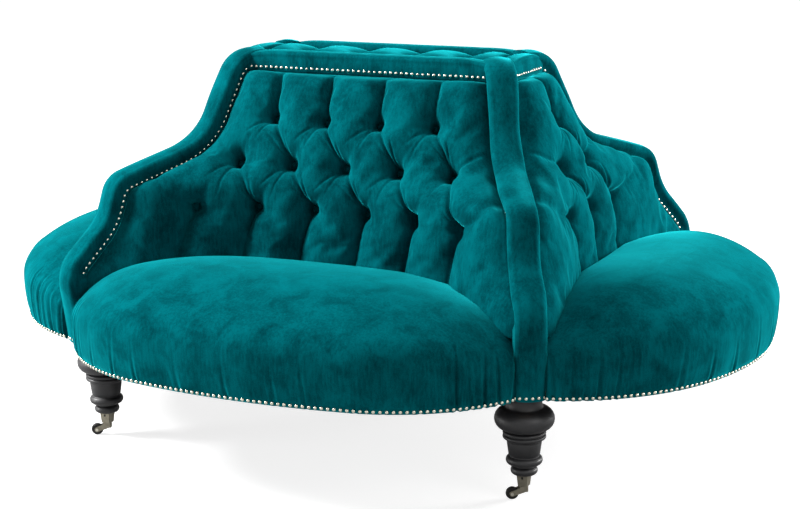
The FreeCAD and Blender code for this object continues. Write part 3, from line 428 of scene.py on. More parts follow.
GATHER_DEPTH, GATHER_LEAN = (0.0045, 0.0078), (-0.10, 0.10)
CLOSE_PITCH, WIDE_PITCH = (0.022, 0.046), (0.06, 0.13)
SKIRT_WAVES = (0.0012, 21.0, 1.3), (0.0009, 47.0, 0.4)
SKIRT_BACK, SKIRT_RISE, WAVE_RISE = 0.02, 0.08, 0.03
NAIL_PRESS, NAIL_PRESS_HEIGHT, NAIL_PRESS_WIDTH = 0.0028, 0.008, 0.006
VELVET_DARK, VELVET_LIGHT = (0.0002, 0.043, 0.053), (0.0004, 0.138, 0.162)
VELVET_SHEEN = (0.02, 0.92, 1.0, 1)


def make_nap():
    """Velvet pile: brushed patches, streaks of the nap and the speckle of the tufts."""
    sizes = [("Patch", "Float", 15.0), ("Streak", "Float", 170.0), ("Pile", "Float", 700.0)]
    tree, given, out = new_group("velvet nap", sizes, [("Brushed", "Float"), ("Speckle", "Float")])
    at = add(tree, "ShaderNodeTexCoord")
    looks = {"Patch": (4.0, 0.5, 0.8), "Streak": (2.0, 0.2, 0.16), "Pile": (2.0, 0.0, 0.6)}
    layers = []
    for size, (detail, distortion, upright) in looks.items():
        lay = add(tree, "ShaderNodeMapping", None, Scale=(1.0, 1.0, upright))
        noise = add(tree, "ShaderNodeTexNoise", None, Detail=detail, Roughness=0.6, Distortion=distortion)
        tree.links.new(at.outputs["Object"], lay.inputs["Vector"])
        tree.links.new(lay.outputs["Vector"], noise.inputs["Vector"])
        tree.links.new(given.outputs[size], noise.inputs["Scale"])
        layers.append(noise.outputs["Fac"])
    brushed = layers[0]
    for share, layer in ((0.32, layers[1]), (0.26, layers[2])):
        mix = add(tree, "ShaderNodeMix", {"data_type": "FLOAT"}, Factor=share)
        tree.links.new(brushed, mix.inputs["A"])
        tree.links.new(layer, mix.inputs["B"])
        brushed = mix.outputs["Result"]
    smooth = {"interpolation_type": "SMOOTHSTEP"}
    steep = add(tree, "ShaderNodeMapRange", smooth, From_Min=0.335, From_Max=0.665)
    tree.links.new(brushed, steep.inputs["Value"])
    tree.links.new(steep.outputs["Result"], out.inputs["Brushed"])
    tree.links.new(layers[2], out.inputs["Speckle"])
    return tree


velvet, tree, shader = new_finish("teal velvet", Sheen_Weight=0.70, Sheen_Roughness=0.34,
                                  Sheen_Tint=VELVET_SHEEN, Specular_IOR_Level=0.0)
pile = use_group(tree, make_nap())
tint(tree, shader, pile.outputs["Brushed"], VELVET_DARK, VELVET_LIGHT)
roughen(tree, shader, pile.outputs["Brushed"], 0.88, 0.74)
bump(tree, shader, pile.outputs["Speckle"], 0.22, 0.0009)


def wing_spot(d, p, long_side):
    """(lateral, forward) of a point d along a wing and p off its middle plane, seen from one side."""
    if long_side:
        return TOWER[0] + d * WING_COS - p * WING_SIN, TOWER[1] + d * WING_SIN + p * WING_COS
    return TOWER[1] + d * WING_SIN - p * WING_COS, TOWER[0] + d * WING_COS + p * WING_SIN


def wing_station(f, p, long_side):
    """Distance along a wing of the point that is f forward and p off its middle plane."""
    if long_side:
        return (f - TOWER[1] - WING_COS * p) / WING_SIN
    return (f - TOWER[0] - WING_SIN * p) / WING_COS


def lobe_outline(long_side, count):
    """Points of the seat's outline in plan from the middle to the wing: an arc and a tangent corner arc."""
    shape = SEAT_SHAPES[long_side]
    radius, corner = shape["radius"], shape["corner"]
    ex, ey = wing_spot(SEAT_END, WING_SIDE, long_side)
    middle = 0.0, shape["reach"] - radius
    dx, dy = ex - middle[0], ey - middle[1]
    dist = math.hypot(dx, dy)
    along = ((radius - corner) ** 2 - corner ** 2 + dist ** 2) / (2 * dist)
    off = math.sqrt(max((radius - corner) ** 2 - along ** 2, 0.0))
    turn = middle[0] + (dx * along - dy * off) / dist, middle[1] + (dy * along + dx * off) / dist
    join = math.atan2(turn[0] - middle[0], turn[1] - middle[1])
    first = radius * join
    second = corner * (math.atan2(ex - turn[0], ey - turn[1]) - join)
    points = []
    for s in np.linspace(0, first + second, count):
        centre, r, t = middle, radius, s / radius
        if s > first:
            centre, r, t = turn, corner, join + (s - first) / corner
        points.append((centre[0] + r * math.sin(t), centre[1] + r * math.cos(t)))
    return np.array(points), first + second


def seat_profile(run, part, end_crown):
    """Closed section of a seat, as (distance from the back, height), at a part of the way to its end."""
    ease = part ** END_EASE
    crown = CROWN + (end_crown - CROWN) * ease
    heel = HEEL + (end_crown - END_FALL - HEEL) * ease
    brow = BROW - BROW_DROP * ease
    edge = run + BULGE * (1 - END_FLATTENING * ease)
    nose = NOSE - (NOSE - END_NOSE) * ease
    top = run * CROWN_STATION
    low, high = 0.0, math.radians(STEEPEST_NOSE)
    for _ in range(40):
        turn = (low + high) / 2
        r = (crown - brow - nose * math.sin(turn)) / (1 - math.sin(turn))
        if nose * (1 - math.cos(turn)) + r * math.cos(turn) < edge - top:
            low = turn
        else:
            high = turn
    foot = run - SKIRT_FOOT[0], BASE + SKIRT_FOOT[1]
    swell = run + (edge - run) * SKIRT_SWELL, (BASE + brow) / 2
    section = [(run - SEAT_SKIRT, BASE), (run - TURN_UNDER, BASE)]
    section += arc_points(foot, swell, (edge, brow), 18)
    for t in np.linspace(0, turn, 12)[1:]:
        section.append((edge - nose * (1 - math.cos(t)), brow + nose * math.sin(t)))
    for t in np.linspace(turn, math.pi / 2, 22)[1:]:
        section.append((top + r * math.cos(t), crown - r + r * math.sin(t)))
    back_r = (top ** 2 + (crown - heel) ** 2) / (2 * (crown - heel))
    for t in np.linspace(0, math.asin((top - HEEL_EDGE) / back_r), 10)[1:]:
        section.append((top - back_r * math.sin(t), crown - back_r * (1 - math.cos(t))))
    inner, rim = section[-1]
    bend = HEEL_BEND * inner
    section += arc_points((inner, rim), (bend, rim - bend), (0.0, rim - inner), 5)
    section += [(0.0, rim - 2 * inner), (0.0, CUSHION_FLOOR), (run - SEAT_SKIRT, CUSHION_FLOOR)]
    return np.array(section)


def gathers(length, rng):
    """Short gathers above the nails: place along the edge, width, height, depth and lean."""
    marks = []
    at = -length + GATHER_START
    while at < length:
        share = 1.0 if abs(at) > length - GATHER_ZONE else GATHER_REST
        width = rng.uniform(*GATHER_WIDTH)
        tall = rng.uniform(*GATHER_HEIGHT) * (GATHER_REST + (1 - GATHER_REST) * share)
        depth = rng.uniform(*GATHER_DEPTH) * share
        marks.append((at, width, tall, depth, rng.uniform(*GATHER_LEAN)))
        at += rng.uniform(*(CLOSE_PITCH if share == 1.0 else WIDE_PITCH))
    return marks


def skirt_moves(section, run, s, marks):
    """How far the waves, the press of the nails and the gathers move a section's skirt, s along the edge."""
    rise = np.clip(section[:, 1] - BASE, 0, None)
    skirt = (section[:, 0] > run - SKIRT_BACK) & (section[:, 1] < BROW + SKIRT_RISE)
    pull = np.zeros(len(section))
    for at, width, tall, depth, lean in marks:
        if abs(s - at) < GATHER_SPREAD:
            off = (s - at - lean * rise) / width
            crease = np.exp(-off ** 2) - 0.45 * np.exp(-((np.abs(off) - 2.0) / 1.1) ** 2)
            pull += depth * crease * np.exp(-(rise / tall) ** 2)
    wave = sum(size * np.sin(s * rate + phase) for size, rate, phase in SKIRT_WAVES)
    pressed = NAIL_PRESS * np.exp(-((rise - NAIL_PRESS_HEIGHT) / NAIL_PRESS_WIDTH) ** 2)
    return np.where(skirt, wave * np.clip(rise / WAVE_RISE, 0, 1) - pressed - pull, 0.0)


def seat_rings(long_side):
    """Sections of a seat from wing to wing, as points in (lateral, forward, height)."""
    shape = SEAT_SHAPES[long_side]
    half_count, back, end_back = shape["sections"], shape["back"], shape["end_back"]
    rim, length = lobe_outline(long_side, half_count + 1)
    back_l = wing_spot(wing_station(end_back, WING_SIDE, long_side), WING_SIDE, long_side)[0]
    marks = gathers(length, np.random.default_rng(shape["seed"]))
    rings = []
    for i in range(-half_count, half_count + 1):
        part = abs(i) / half_count
        hand = -1.0 if i < 0 else 1.0
        tip = np.array([hand, 1.0]) * rim[abs(i)]
        root = np.array([hand * back_l * part, back + (end_back - back) * part ** 2])
        run = float(np.hypot(*(tip - root)))
        way = (tip - root) / run
        section = seat_profile(run, part, shape["end_crowns"][i > 0])
        reach = section[:, 0] + skirt_moves(section, run, hand * part * length, marks)
        rings.append(np.stack([root[0] + way[0] * reach, root[1] + way[1] * reach, section[:, 1]], 1))
    return np.array(rings)


def to_side(points, seat):
    """Points in (lateral, forward, height) set on the front, rear, left or right of the settee."""
    l, f, z = points[..., 0], points[..., 1], points[..., 2]
    sides = {"front": (l, -f, z), "rear": (l, f, z), "left": (-f, l, z), "right": (f, l, z)}
    return np.stack(sides[seat], -1)


for long_side, seats in SEATS.items():
    rings = seat_rings(long_side)
    for seat in seats:
        cushion = piece("seat_" + seat, skin(to_side(rings, seat)), velvet, "velvet", "seat_cushion_" + seat)

# Backs: deep-buttoned pads of velvet over hair, nailed to the wings and under the tower's border.
# Twine draws each button to the board; the fullness is folded into pleats from button to button.
BACK_TOP, BACK_FOOT, BOARD_FOOT = 0.896, 0.395, 0.365
ROWS = 0.788, 0.685, 0.583
PAD_SHAPES = {
    LONG: dict(reach=(0.142, 0.203, 0.245, 0.272, 0.312), board=(0.1103, 0.2933), spacing=0.145,
               rows=((-1.5, -0.5, 0.5, 1.5), (-2, -1, 0, 1, 2), (-2.5, -1.5, -0.5, 0.5, 1.5, 2.5)),
               drift=0.030, columns=420, seed=5),
    SHORT: dict(reach=(0.386, 0.436, 0.488, 0.527, 0.568), board=(0.3543, 0.5413), spacing=0.150,
                rows=((0,), (-0.5, 0.5), (-1, 0, 1)), drift=0.0, columns=320, seed=9)}
NAIL_INSET, ROLL_NECK, PAD_INSET = 0.037, 0.0290, 0.009
PILLOW, END_PILLOW, PILLOW_LIMIT = 0.056, 0.047, 0.060
TUCK, TUCK_TOP, TUCK_HEIGHT = 0.32, 0.565, 0.095
CREASE, CREASE_WIDTH = 0.0052, 0.0030
BUTTON_SINK, BUTTON_HOLLOW, BUTTON_STAND, BUTTON_TIE = 0.020, 0.015, 0.007, 0.010
BUTTON_HEAD = dict(Head_Diameter=0.019, Head_Height=0.0055, Segments=20, Rings=12)
PAD_TOP_FALL, PAD_END_FALL, FLOOR_EASE = (0.92, 0.010), (0.96, 0.023), 0.045
FOLD_BLEND, FOLD_ROUND, FOLD_LIP, FOLD_TIE, FOLD_RUNS = 3.0, 0.0012, 0.004, 0.0042, 6
TOP_PLEAT = (0.66, 0.80, 1.0), 0.015, 0.015
END_PLEAT, END_LIFTS = ((1.0, 0.30, 0.10), 0.006, 0.022), (0.052, 0.060)
LOW_PLEAT, LOW_PLEAT_FOOT = ((1.0, 0.82, 0.80), 0.016, 0.016), BACK_FOOT - 0.02
LONG_BOW, SHORT_BOW, CREASE_LENGTH = 0.006, 0.004, (0.5, 0.85)
PLEATS = {
    "sharp": dict(middle=0.50, above=0.0055, below=0.018, creases=3, fan=0.17, stray=0.04, share=1.0),
    "soft": dict(middle=0.17, above=0.024, below=0.026, creases=2, fan=0.34, stray=0.05, share=0.5)}
SETTLE_GRID, SETTLE_FRAMES, TIE_LEVELS = (100, 201), 14, 20
SETTLE_PRESSURE, SETTLE_FULLNESS, SETTLE_MOST = 3.0, 0.007, 0.025
VELVET_LEVELS, SLOPE_STEP = 200, 0.004
WING_ROOT, WING_LEAD, TOWER_TOP = -0.005, 0.06, 0.950
WING_PATH = (
    ("bend", 0.088, 63.5), ("run", 0.110), ("bend", -0.175, 16.5), ("run", 0.151), ("bend", 0.069, 73.0),
    ("run", 0.031), ("bend", -0.152, 45.5), ("run", 0.075), ("bend", 0.104, 98.0), ("run", None))
Fold = namedtuple("Fold", "start end bow depths above below")


def wing_edge(inset, step=0.002):
    """The wing's ogee edge moved inward by inset: rows of distance along the wing, height and heading."""
    heading, at, rows = 0.0, np.array([WING_ROOT - WING_LEAD, TOWER_TOP - inset]), []

    def straight(length):
        nonlocal at
        way = np.array([math.cos(heading), -math.sin(heading)])
        for s in np.arange(0, length, step):
            rows.append((*(at + way * s), heading))
        at = at + way * length

    straight(WING_LEAD)
    for kind, size, *to in WING_PATH:
        if kind == "run":
            straight(size if size is not None else (at[1] - BASE) / math.sin(heading))
            continue
        turn = 1.0 if size > 0 else -1.0
        r = turn * (abs(size) - turn * inset)
        centre = at - r * np.array([math.sin(heading), math.cos(heading)])
        end = math.radians(to[0])
        count = max(3, int(abs((end - heading) * r) / step))
        for h in np.linspace(heading, end, count, endpoint=False):
            rows.append((*(centre + r * np.array([math.sin(h), math.cos(h)])), h))
        at, heading = centre + r * np.array([math.sin(end), math.cos(end)]), end
    rows.append((*at, heading))
    return np.array(rows)


PAD_EDGE = wing_edge(NAIL_INSET + PAD_INSET)


def pad_end(z, long_side):
    """(lateral, forward) of a pad's end at a height, beside the wing's roll."""
    d = np.interp(-np.asarray(z), -PAD_EDGE[:, 1], PAD_EDGE[:, 0])
    return wing_spot(d, ROLL_NECK + SEAM_GAP, long_side)


def pad_floor(l, z, long_side):
    """Forward distance of the pleats' floor."""
    heights = (BACK_TOP, *ROWS, BOARD_FOOT)[::-1]
    reach = PAD_SHAPES[long_side]["reach"][::-1]
    end_l, end_f = pad_end(z, long_side)
    mid = sum(np.interp(z + shift, heights, reach) for shift in np.linspace(-FLOOR_EASE, FLOOR_EASE, 9)) / 9
    return mid + (end_f - mid) * np.clip(np.abs(l) / end_l, 0, 1) ** 2.2


def floor_slopes(l, z, long_side):
    """Slopes of the pleats' floor, along the pad and up it."""
    along = pad_floor(l + SLOPE_STEP, z, long_side) - pad_floor(l - SLOPE_STEP, z, long_side)
    upward = pad_floor(l, z + SLOPE_STEP, long_side) - pad_floor(l, z - SLOPE_STEP, long_side)
    return along / (2 * SLOPE_STEP), upward / (2 * SLOPE_STEP)


def button_rows(long_side):
    """Rows of the buttons' places, (lateral, height), from the top."""
    shape = PAD_SHAPES[long_side]
    return [[(k * shape["spacing"], z) for k in row] for row, z in zip(shape["rows"], ROWS)]


def pleat_lines(long_side):
    """Folds between buttons and to the edges, and the fine creases as (root, tip, share)."""
    shape = PAD_SHAPES[long_side]
    rng = np.random.default_rng(shape["seed"])
    rows = button_rows(long_side)
    folds, creases = [], []
    for l, z in rows[0]:
        folds.append(Fold((l, BACK_TOP), (l, z), rng.uniform(-LONG_BOW, LONG_BOW), *TOP_PLEAT))
    for upper, lower in zip(rows[:-1], rows[1:]):
        for a, b in [(a, b) for a in upper for b in lower]:
            if abs(abs(a[0] - b[0]) - shape["spacing"] / 2) > 1e-6:
                continue
            pleat = PLEATS["sharp" if b[0] > a[0] else "soft"]
            bow = rng.uniform(-SHORT_BOW, SHORT_BOW)
            folds.append(Fold(a, b, bow, (1.0, pleat["middle"], 1.0), pleat["above"], pleat["below"]))
            root, far = np.array((b, a) if b[0] > a[0] else (a, b))
            way = far - root
            side = np.array([-way[1], way[0]])
            for k in range(pleat["creases"]):
                lean = (k - (pleat["creases"] - 1) / 2) * pleat["fan"]
                lean += rng.uniform(-pleat["stray"], pleat["stray"])
                tip = root + way * rng.uniform(*CREASE_LENGTH) + side * lean
                creases.append((root, tip, pleat["share"]))
    for row, lift in zip(rows[1:], END_LIFTS):
        for l, z in (row[0], row[-1]):
            hand = 1 if l > 0 else -1
            end = pad_end(z + lift, long_side)[0] * hand
            folds.append(Fold((l, z), (end, z + lift), -LONG_BOW * hand, *END_PLEAT))
    for l, z in rows[2]:
        bow = rng.uniform(-LONG_BOW, LONG_BOW) - shape["drift"] / 4
        folds.append(Fold((l, z), (l - shape["drift"], LOW_PLEAT_FOOT), bow, *LOW_PLEAT))
    return folds, creases


def fold_share(l, z, fold):
    """How far one fold holds the velvet down, and how fast it ties it, each 0 to 1 at each point."""
    start, end = np.array(fold.start), np.array(fold.end)
    way = end - start
    side = np.array([-way[1], way[0]]) / np.hypot(*way)
    steps = np.linspace(0, 1, FOLD_RUNS + 1)
    knots = [start + way * t + side * fold.bow * math.sin(math.pi * t) for t in steps]
    best, where, over = np.full(l.shape, 9.0), np.zeros(l.shape), np.zeros(l.shape)
    for k, (p, q) in enumerate(zip(knots[:-1], knots[1:])):
        run = q - p
        t = np.clip(((l - p[0]) * run[0] + (z - p[1]) * run[1]) / (run @ run), 0, 1)
        dl, dz = l - p[0] - t * run[0], z - p[1] - t * run[1]
        dist = np.hypot(dl, dz)
        near = dist < best
        best = np.where(near, dist, best)
        where = np.where(near, (k + t) / FOLD_RUNS, where)
        over = np.where(near, dz, over)
    first, middle, last = fold.depths
    ends = np.where(where < 0.5, first, last)
    depth = ends + (middle - ends) * np.sin(where * math.pi) ** 0.8
    soft = fold.below + (fold.above - fold.below) / (1 + np.exp(np.clip(-over / FOLD_LIP, -30, 30)))
    away = (np.sqrt(best ** 2 + FOLD_ROUND ** 2) - FOLD_ROUND) / soft
    share = depth * (0.72 * np.exp(-away) + 0.28 * np.exp(-away / 3))
    return share, np.minimum(1.0, 1.35 * depth) * np.exp(-(best / FOLD_TIE) ** 2)


def stuffing(l, z, long_side):
    """Fullness of the stuffing before the folds draw it in, and its fall toward the top and the ends."""
    rows = button_rows(long_side)
    end_l = pad_end(z, long_side)[0]
    outer = np.interp(z, ROWS[::-1], [row[-1][0] for row in rows][::-1])
    toward_end = np.clip((np.abs(l) - outer) / np.maximum(end_l - outer, 0.02), 0, 1)
    full = PILLOW + (END_PILLOW - PILLOW) * toward_end ** 0.7
    under = np.clip((TUCK_TOP - z) / TUCK_HEIGHT, 0, 1)
    full = full * (1 - TUCK * under ** 2 * (3 - 2 * under))
    top_fall = 1 - PAD_TOP_FALL[0] * np.exp(-(BACK_TOP - z) / PAD_TOP_FALL[1])
    end_fall = 1 - PAD_END_FALL[0] * np.exp(-(end_l - np.abs(l)) / PAD_END_FALL[1])
    return full, top_fall * end_fall


def tufted_front(long_side, rows, columns):
    """Velvet front of a pad as rows of points in (lateral, forward, height), and how fast each is tied."""
    levels = np.linspace(BACK_TOP, BACK_FOOT, rows)
    z = np.repeat(levels[:, None], columns, 1)
    l = np.linspace(-1, 1, columns)[None, :] * pad_end(levels, long_side)[0][:, None]
    held, tied = np.zeros(l.shape), np.zeros(l.shape)
    folds, creases = pleat_lines(long_side)
    for fold in folds:
        share, tie = fold_share(l, z, fold)
        held += share ** FOLD_BLEND
        tied = np.maximum(tied, tie)
    loose = 1 - np.minimum(held ** (1 / FOLD_BLEND), 1.0)
    tied[[0, -1]] = 1.0
    tied[:, [0, -1]] = 1.0
    full, edge = stuffing(l, z, long_side)
    lumps = 0.0010 * np.sin(l * 61 + z * 37) + 0.0008 * np.sin(l * 97 - z * 83 + 1.0)
    rise = PILLOW_LIMIT * np.tanh(full * loose * edge / PILLOW_LIMIT) + lumps * edge * loose
    for root, tip, share in creases:
        way = tip - root
        along = ((l - root[0]) * way[0] + (z - root[1]) * way[1]) / (way @ way)
        across = ((z - root[1]) * way[0] - (l - root[0]) * way[1]) / np.hypot(*way)
        taper = np.clip(along / 0.15, 0, 1) * np.clip((1 - along) / 0.5, 0, 1)
        rise = rise - CREASE * share * taper * np.exp(-(across / CREASE_WIDTH) ** 2)
    for row in button_rows(long_side):
        for button_l, button_z in row:
            near = np.hypot(l - button_l, z - button_z)
            rise = rise - BUTTON_SINK * np.exp(-(near / BUTTON_HOLLOW) ** 2)
            tied = np.maximum(tied, np.clip(1.6 - near / BUTTON_TIE, 0, 1))
    slope_l, slope_z = floor_slopes(l, z, long_side)
    slope_l = np.where(np.abs(l) > pad_end(z, long_side)[0] - SLOPE_STEP, 0.0, slope_l)
    size = np.sqrt(1 + slope_l ** 2 + slope_z ** 2)
    forward = pad_floor(l, z, long_side) + rise / size
    return np.stack([l - slope_l / size * rise, forward, z - slope_z / size * rise], -1), tied


def button_seats(long_side):
    """Where each button of a pad sits, and the way that it faces."""
    seats = []
    for row in button_rows(long_side):
        for l, z in np.array(row):
            slope_l, slope_z = floor_slopes(l, z, long_side)
            way = np.array([-slope_l, 1.0, -slope_z]) / math.sqrt(1 + slope_l ** 2 + slope_z ** 2)
            spot = np.array([l, pad_floor(l, z, long_side), z])
            seats.append((spot + way * (BUTTON_STAND - BUTTON_SINK), way))
    return seats


def settle(name, grid, tied):
    """How far a velvet sheet moves as it swells over its stuffing; tied, 0 to 1, holds each point."""
    rows, columns = grid.shape[:2]
    i, j = np.meshgrid(np.arange(rows - 1), np.arange(columns - 1), indexing="ij")
    a = i * columns + j
    faces = np.stack([a, a + 1, a + columns + 1, a + columns], -1).reshape(-1, 4).tolist()
    mesh = bpy.data.meshes.new(name)
    mesh.from_pydata(grid.reshape(-1, 3).tolist(), [], faces)
    sheet = bpy.data.objects.new(name, mesh)
    bpy.context.collection.objects.link(sheet)
    group = sheet.vertex_groups.new(name="tied")
    level = np.round(np.clip(tied.ravel(), 0, 1) * TIE_LEVELS).astype(int)
    for k in range(1, TIE_LEVELS + 1):
        where = np.flatnonzero(level == k)
        if len(where):
            group.add(where.tolist(), k / TIE_LEVELS, "REPLACE")
    cloth = sheet.modifiers.new("velvet", "CLOTH")
    cloth.settings.quality = 5
    cloth.settings.mass = 0.15
    cloth.settings.air_damping = 4.0
    cloth.settings.tension_stiffness = 20.0
    cloth.settings.compression_stiffness = 12.0
    cloth.settings.shear_stiffness = 6.0
    cloth.settings.bending_stiffness = 4.0
    cloth.settings.use_pressure = True
    cloth.settings.uniform_pressure_force = SETTLE_PRESSURE
    cloth.settings.vertex_group_mass = "tied"
    cloth.settings.shrink_min = -SETTLE_FULLNESS
    cloth.settings.effector_weights.gravity = 0.0
    cloth.collision_settings.use_collision = False
    cloth.point_cache.frame_start, cloth.point_cache.frame_end = 1, SETTLE_FRAMES
    scene = bpy.context.scene
    for step in range(1, SETTLE_FRAMES + 1):
        scene.frame_set(step)
    made = bpy.data.meshes.new_from_object(sheet.evaluated_get(bpy.context.evaluated_depsgraph_get()))
    settled = np.empty(rows * columns * 3, np.float32)
    made.vertices.foreach_get("co", settled)
    bpy.data.objects.remove(sheet)
    scene.frame_set(1)
    move = settled.reshape(grid.shape) - grid
    size = np.linalg.norm(move, axis=-1, keepdims=True)
    return move * np.minimum(1.0, SETTLE_MOST / np.maximum(size, 1e-9))


def finer(field, rows, columns):
    """A field of moves on a coarse grid, read at the points of a finer one."""
    for axis, count in ((0, rows), (1, columns)):
        at = np.linspace(0, field.shape[axis] - 1, count)
        low = np.minimum(at.astype(int), field.shape[axis] - 2)
        part = (at - low).reshape([-1 if k == axis else 1 for k in range(3)])
        field = np.take(field, low, axis) * (1 - part) + np.take(field, low + 1, axis) * part
    return field


button_spots, button_facings = [], []
for long_side, seats in SEATS.items():
    grid = VELVET_LEVELS, PAD_SHAPES[long_side]["columns"] + 1
    move = settle("velvet_back", *tufted_front(long_side, *SETTLE_GRID))
    front = tufted_front(long_side, *grid)[0] + finer(move, *grid)
    high_reach, low_reach = PAD_SHAPES[long_side]["board"]
    heights = front[:, :1, 2]
    board = high_reach + (low_reach - high_reach) * (BACK_TOP - heights) / (BACK_TOP - BOARD_FOOT)
    side_l = wing_spot(wing_station(board, WING_SIDE, long_side), WING_SIDE, long_side)[0]
    back = np.stack(np.broadcast_arrays(side_l * np.linspace(1, -1, 13), board, heights), -1)
    rings = np.concatenate([front, back], axis=1)
    for seat in seats:
        pad = piece("buttoned_back_" + seat, skin(to_side(rings, seat)), velvet, "velvet", "back_pad_" + seat)
        for spot, way in button_seats(long_side):
            button_spots.append(to_side(spot, seat))
            button_facings.append(to_side(way, seat))
set_heads("covered_buttons", button_spots, button_facings, velvet, "velvet", BUTTON_HEAD, "back_buttons")

# Wing rolls: a welt-edged band of velvet over felt that wraps the edge of each ogee board.
# It is drawn round the board, tacked behind the pads, and runs up over the corner of the tower.
ROLL_EDGE, ROLL_CROWN, ROLL_REACH, FOOT_REACH = 0.015, 0.0035, 0.050, 0.016
ROLL_FAT, ROLL_SLACK, ROLL_WAVE, ROLL_START = 0.0022, 0.0009, 0.0008, -0.03
BOARD_HALF, BOARD_INSET = 0.0152, 0.0175
PLUMP_FROM, FREE_FROM, REACH_FROM = (0.46, 0.04), (0.425, 0.035), (0.350, 0.03)


def roll_section(half, reach, neck):
    """A round-edged band that draws in to a neck at the nails: (offset across the wing, inset)."""
    side = []
    for t in np.linspace(0, 1, 9)[1:]:
        inset = ROLL_EDGE + (reach - ROLL_EDGE) * t
        drawn = min((inset - ROLL_EDGE) / (NAIL_INSET - 0.004 - ROLL_EDGE), 1.0)
        side.append((half + (neck - half) * (0.5 - 0.5 * math.cos(math.pi * drawn)), inset))
    quarter = np.linspace(0, math.pi / 2, 10)
    flat = half - ROLL_EDGE
    section = [(-w, inset) for w, inset in side[::-1]]
    section += [(-half + ROLL_EDGE * (1 - math.cos(t)), ROLL_EDGE * (1 - math.sin(t))) for t in quarter]
    section += [(flat * t, -ROLL_CROWN * (1 - t * t)) for t in np.linspace(-1, 1, 15)[1:-1]]
    section += [(half - ROLL_EDGE * (1 - math.sin(t)), ROLL_EDGE * (1 - math.cos(t))) for t in quarter]
    section += side + [(BOARD_HALF, reach), (BOARD_HALF, BOARD_INSET)]
    return np.array(section + [(-BOARD_HALF, BOARD_INSET), (-BOARD_HALF, reach)])


def share_above(value, low, height):
    """0 at low and below, 1 from height above it."""
    return min(max((value - low) / height, 0.0), 1.0)


def wing_roll(phase):
    """Sections of a roll along the ogee, whose slow waves start at the phase."""
    path = wing_edge(0.0, 0.004)
    path = path[path[:, 0] > ROLL_START]
    lengths = np.concatenate([[0.0], np.cumsum(np.hypot(*np.diff(path[:, :2], axis=0).T))])
    rings = []
    for s, (d, z, heading) in zip(lengths, path):
        wave = 0.0010 * math.sin(s * 17 + phase) + 0.0007 * math.sin(s * 41 + 2 * phase)
        fat = ROLL_FAT * share_above(z, *PLUMP_FROM)
        half = WING_HALF + 0.0001 + fat + min(1.0, fat * 600) * (wave - ROLL_SLACK)
        free = share_above(z, *FREE_FROM)
        reach = FOOT_REACH + (ROLL_REACH - FOOT_REACH) * share_above(z, *REACH_FROM)
        ring = roll_section(half, reach, half + (ROLL_NECK - half) * free)
        p = ring[:, 0] + ROLL_WAVE * free * math.sin(s * 29 + phase)
        inset = ring[:, 1] + ROLL_WAVE * math.sin(s * 23)
        x, y = wing_spot(d - inset * math.sin(heading), p, LONG)
        rings.append(np.stack([x, y, z - inset * math.cos(heading)], 1))
    return np.array(rings)


for k, (corner, signs) in enumerate(CORNERS.items()):
    rings = wing_roll(k) * np.array([*signs, 1.0])
    roll = piece("wing_band_" + corner, skin(rings), velvet, "velvet", "wing_roll_" + corner)

# Tower top: a boxed border of velvet over felt round the top board, and a pad tufted inside it.
# The pad is pleated front to rear between five pillows, with a button in the middle of each pleat.
BORDER_HEIGHT, BORDER_WIDTH, BORDER_EDGE, BORDER_LIP = 0.053, 0.052, 0.012, 0.014
BORDER_HALF = TOWER[0] + WING_HALF, TOWER[1] + WING_HALF
BORDER_STEP, CORNER_DIP, CORNER_DIP_REACH = 0.008, 0.009, 0.045
PAD_DROP, PAD_CROWN, PAD_SINK, PAD_GRID = 0.020, 0.034, 0.004, (190, 64)
PAD_RIM, PAD_RIM_WIDTH, PAD_FALL, BUTTON_DROP = 0.9, 0.016, 0.35, 0.001
TOP_PLEATS, CROSS_PLEAT = (-1.5, -0.5, 0.5, 1.5), ((1.0, 0.86, 0.84), 0.016, 0.016)


def rounded_path(hx, hy, r, step):
    """A closed path round a rectangle with rounded corners: points and outward directions."""
    rows = []
    for sx, sy, start in ((1, 1, 0), (-1, 1, 90), (-1, -1, 180), (1, -1, 270)):
        cx, cy = sx * (hx - r), sy * (hy - r)
        for t in np.radians(np.linspace(start, start + 90, 9)):
            rows.append((cx + r * math.cos(t), cy + r * math.sin(t), math.cos(t), math.sin(t)))
    rows = np.array(rows + rows[:1])
    dense = []
    for a, b in zip(rows[:-1], rows[1:]):
        count = max(1, int(np.hypot(*(b[:2] - a[:2])) / step))
        dense += [a + (b - a) * k / count for k in range(count)]
    return np.array(dense)


def border_section():
    """Section of the border: (distance inward from the outer face, height)."""
    low, top, width, edge, lip = TOWER_TOP - BORDER_HEIGHT, TOWER_TOP, BORDER_WIDTH, BORDER_EDGE, BORDER_LIP
    quarter = np.linspace(0, math.pi / 2, 8)[1:]
    section = []
    for t in np.linspace(0, 1, 8):
        section.append((0.0012 - 0.0025 * math.sin(math.pi * t), low + (top - edge - low) * t))
    section += [(edge * (1 - math.cos(t)), top - edge * (1 - math.sin(t))) for t in quarter]
    for t in np.linspace(0, 1, 6)[1:]:
        section.append((edge + (width - edge - lip) * t, top + 0.0016 * math.sin(math.pi * t)))
    section += [(width - lip * (1 - math.sin(t)), top - lip * (1 - math.cos(t))) for t in quarter]
    return np.array(section + [(width, low)])


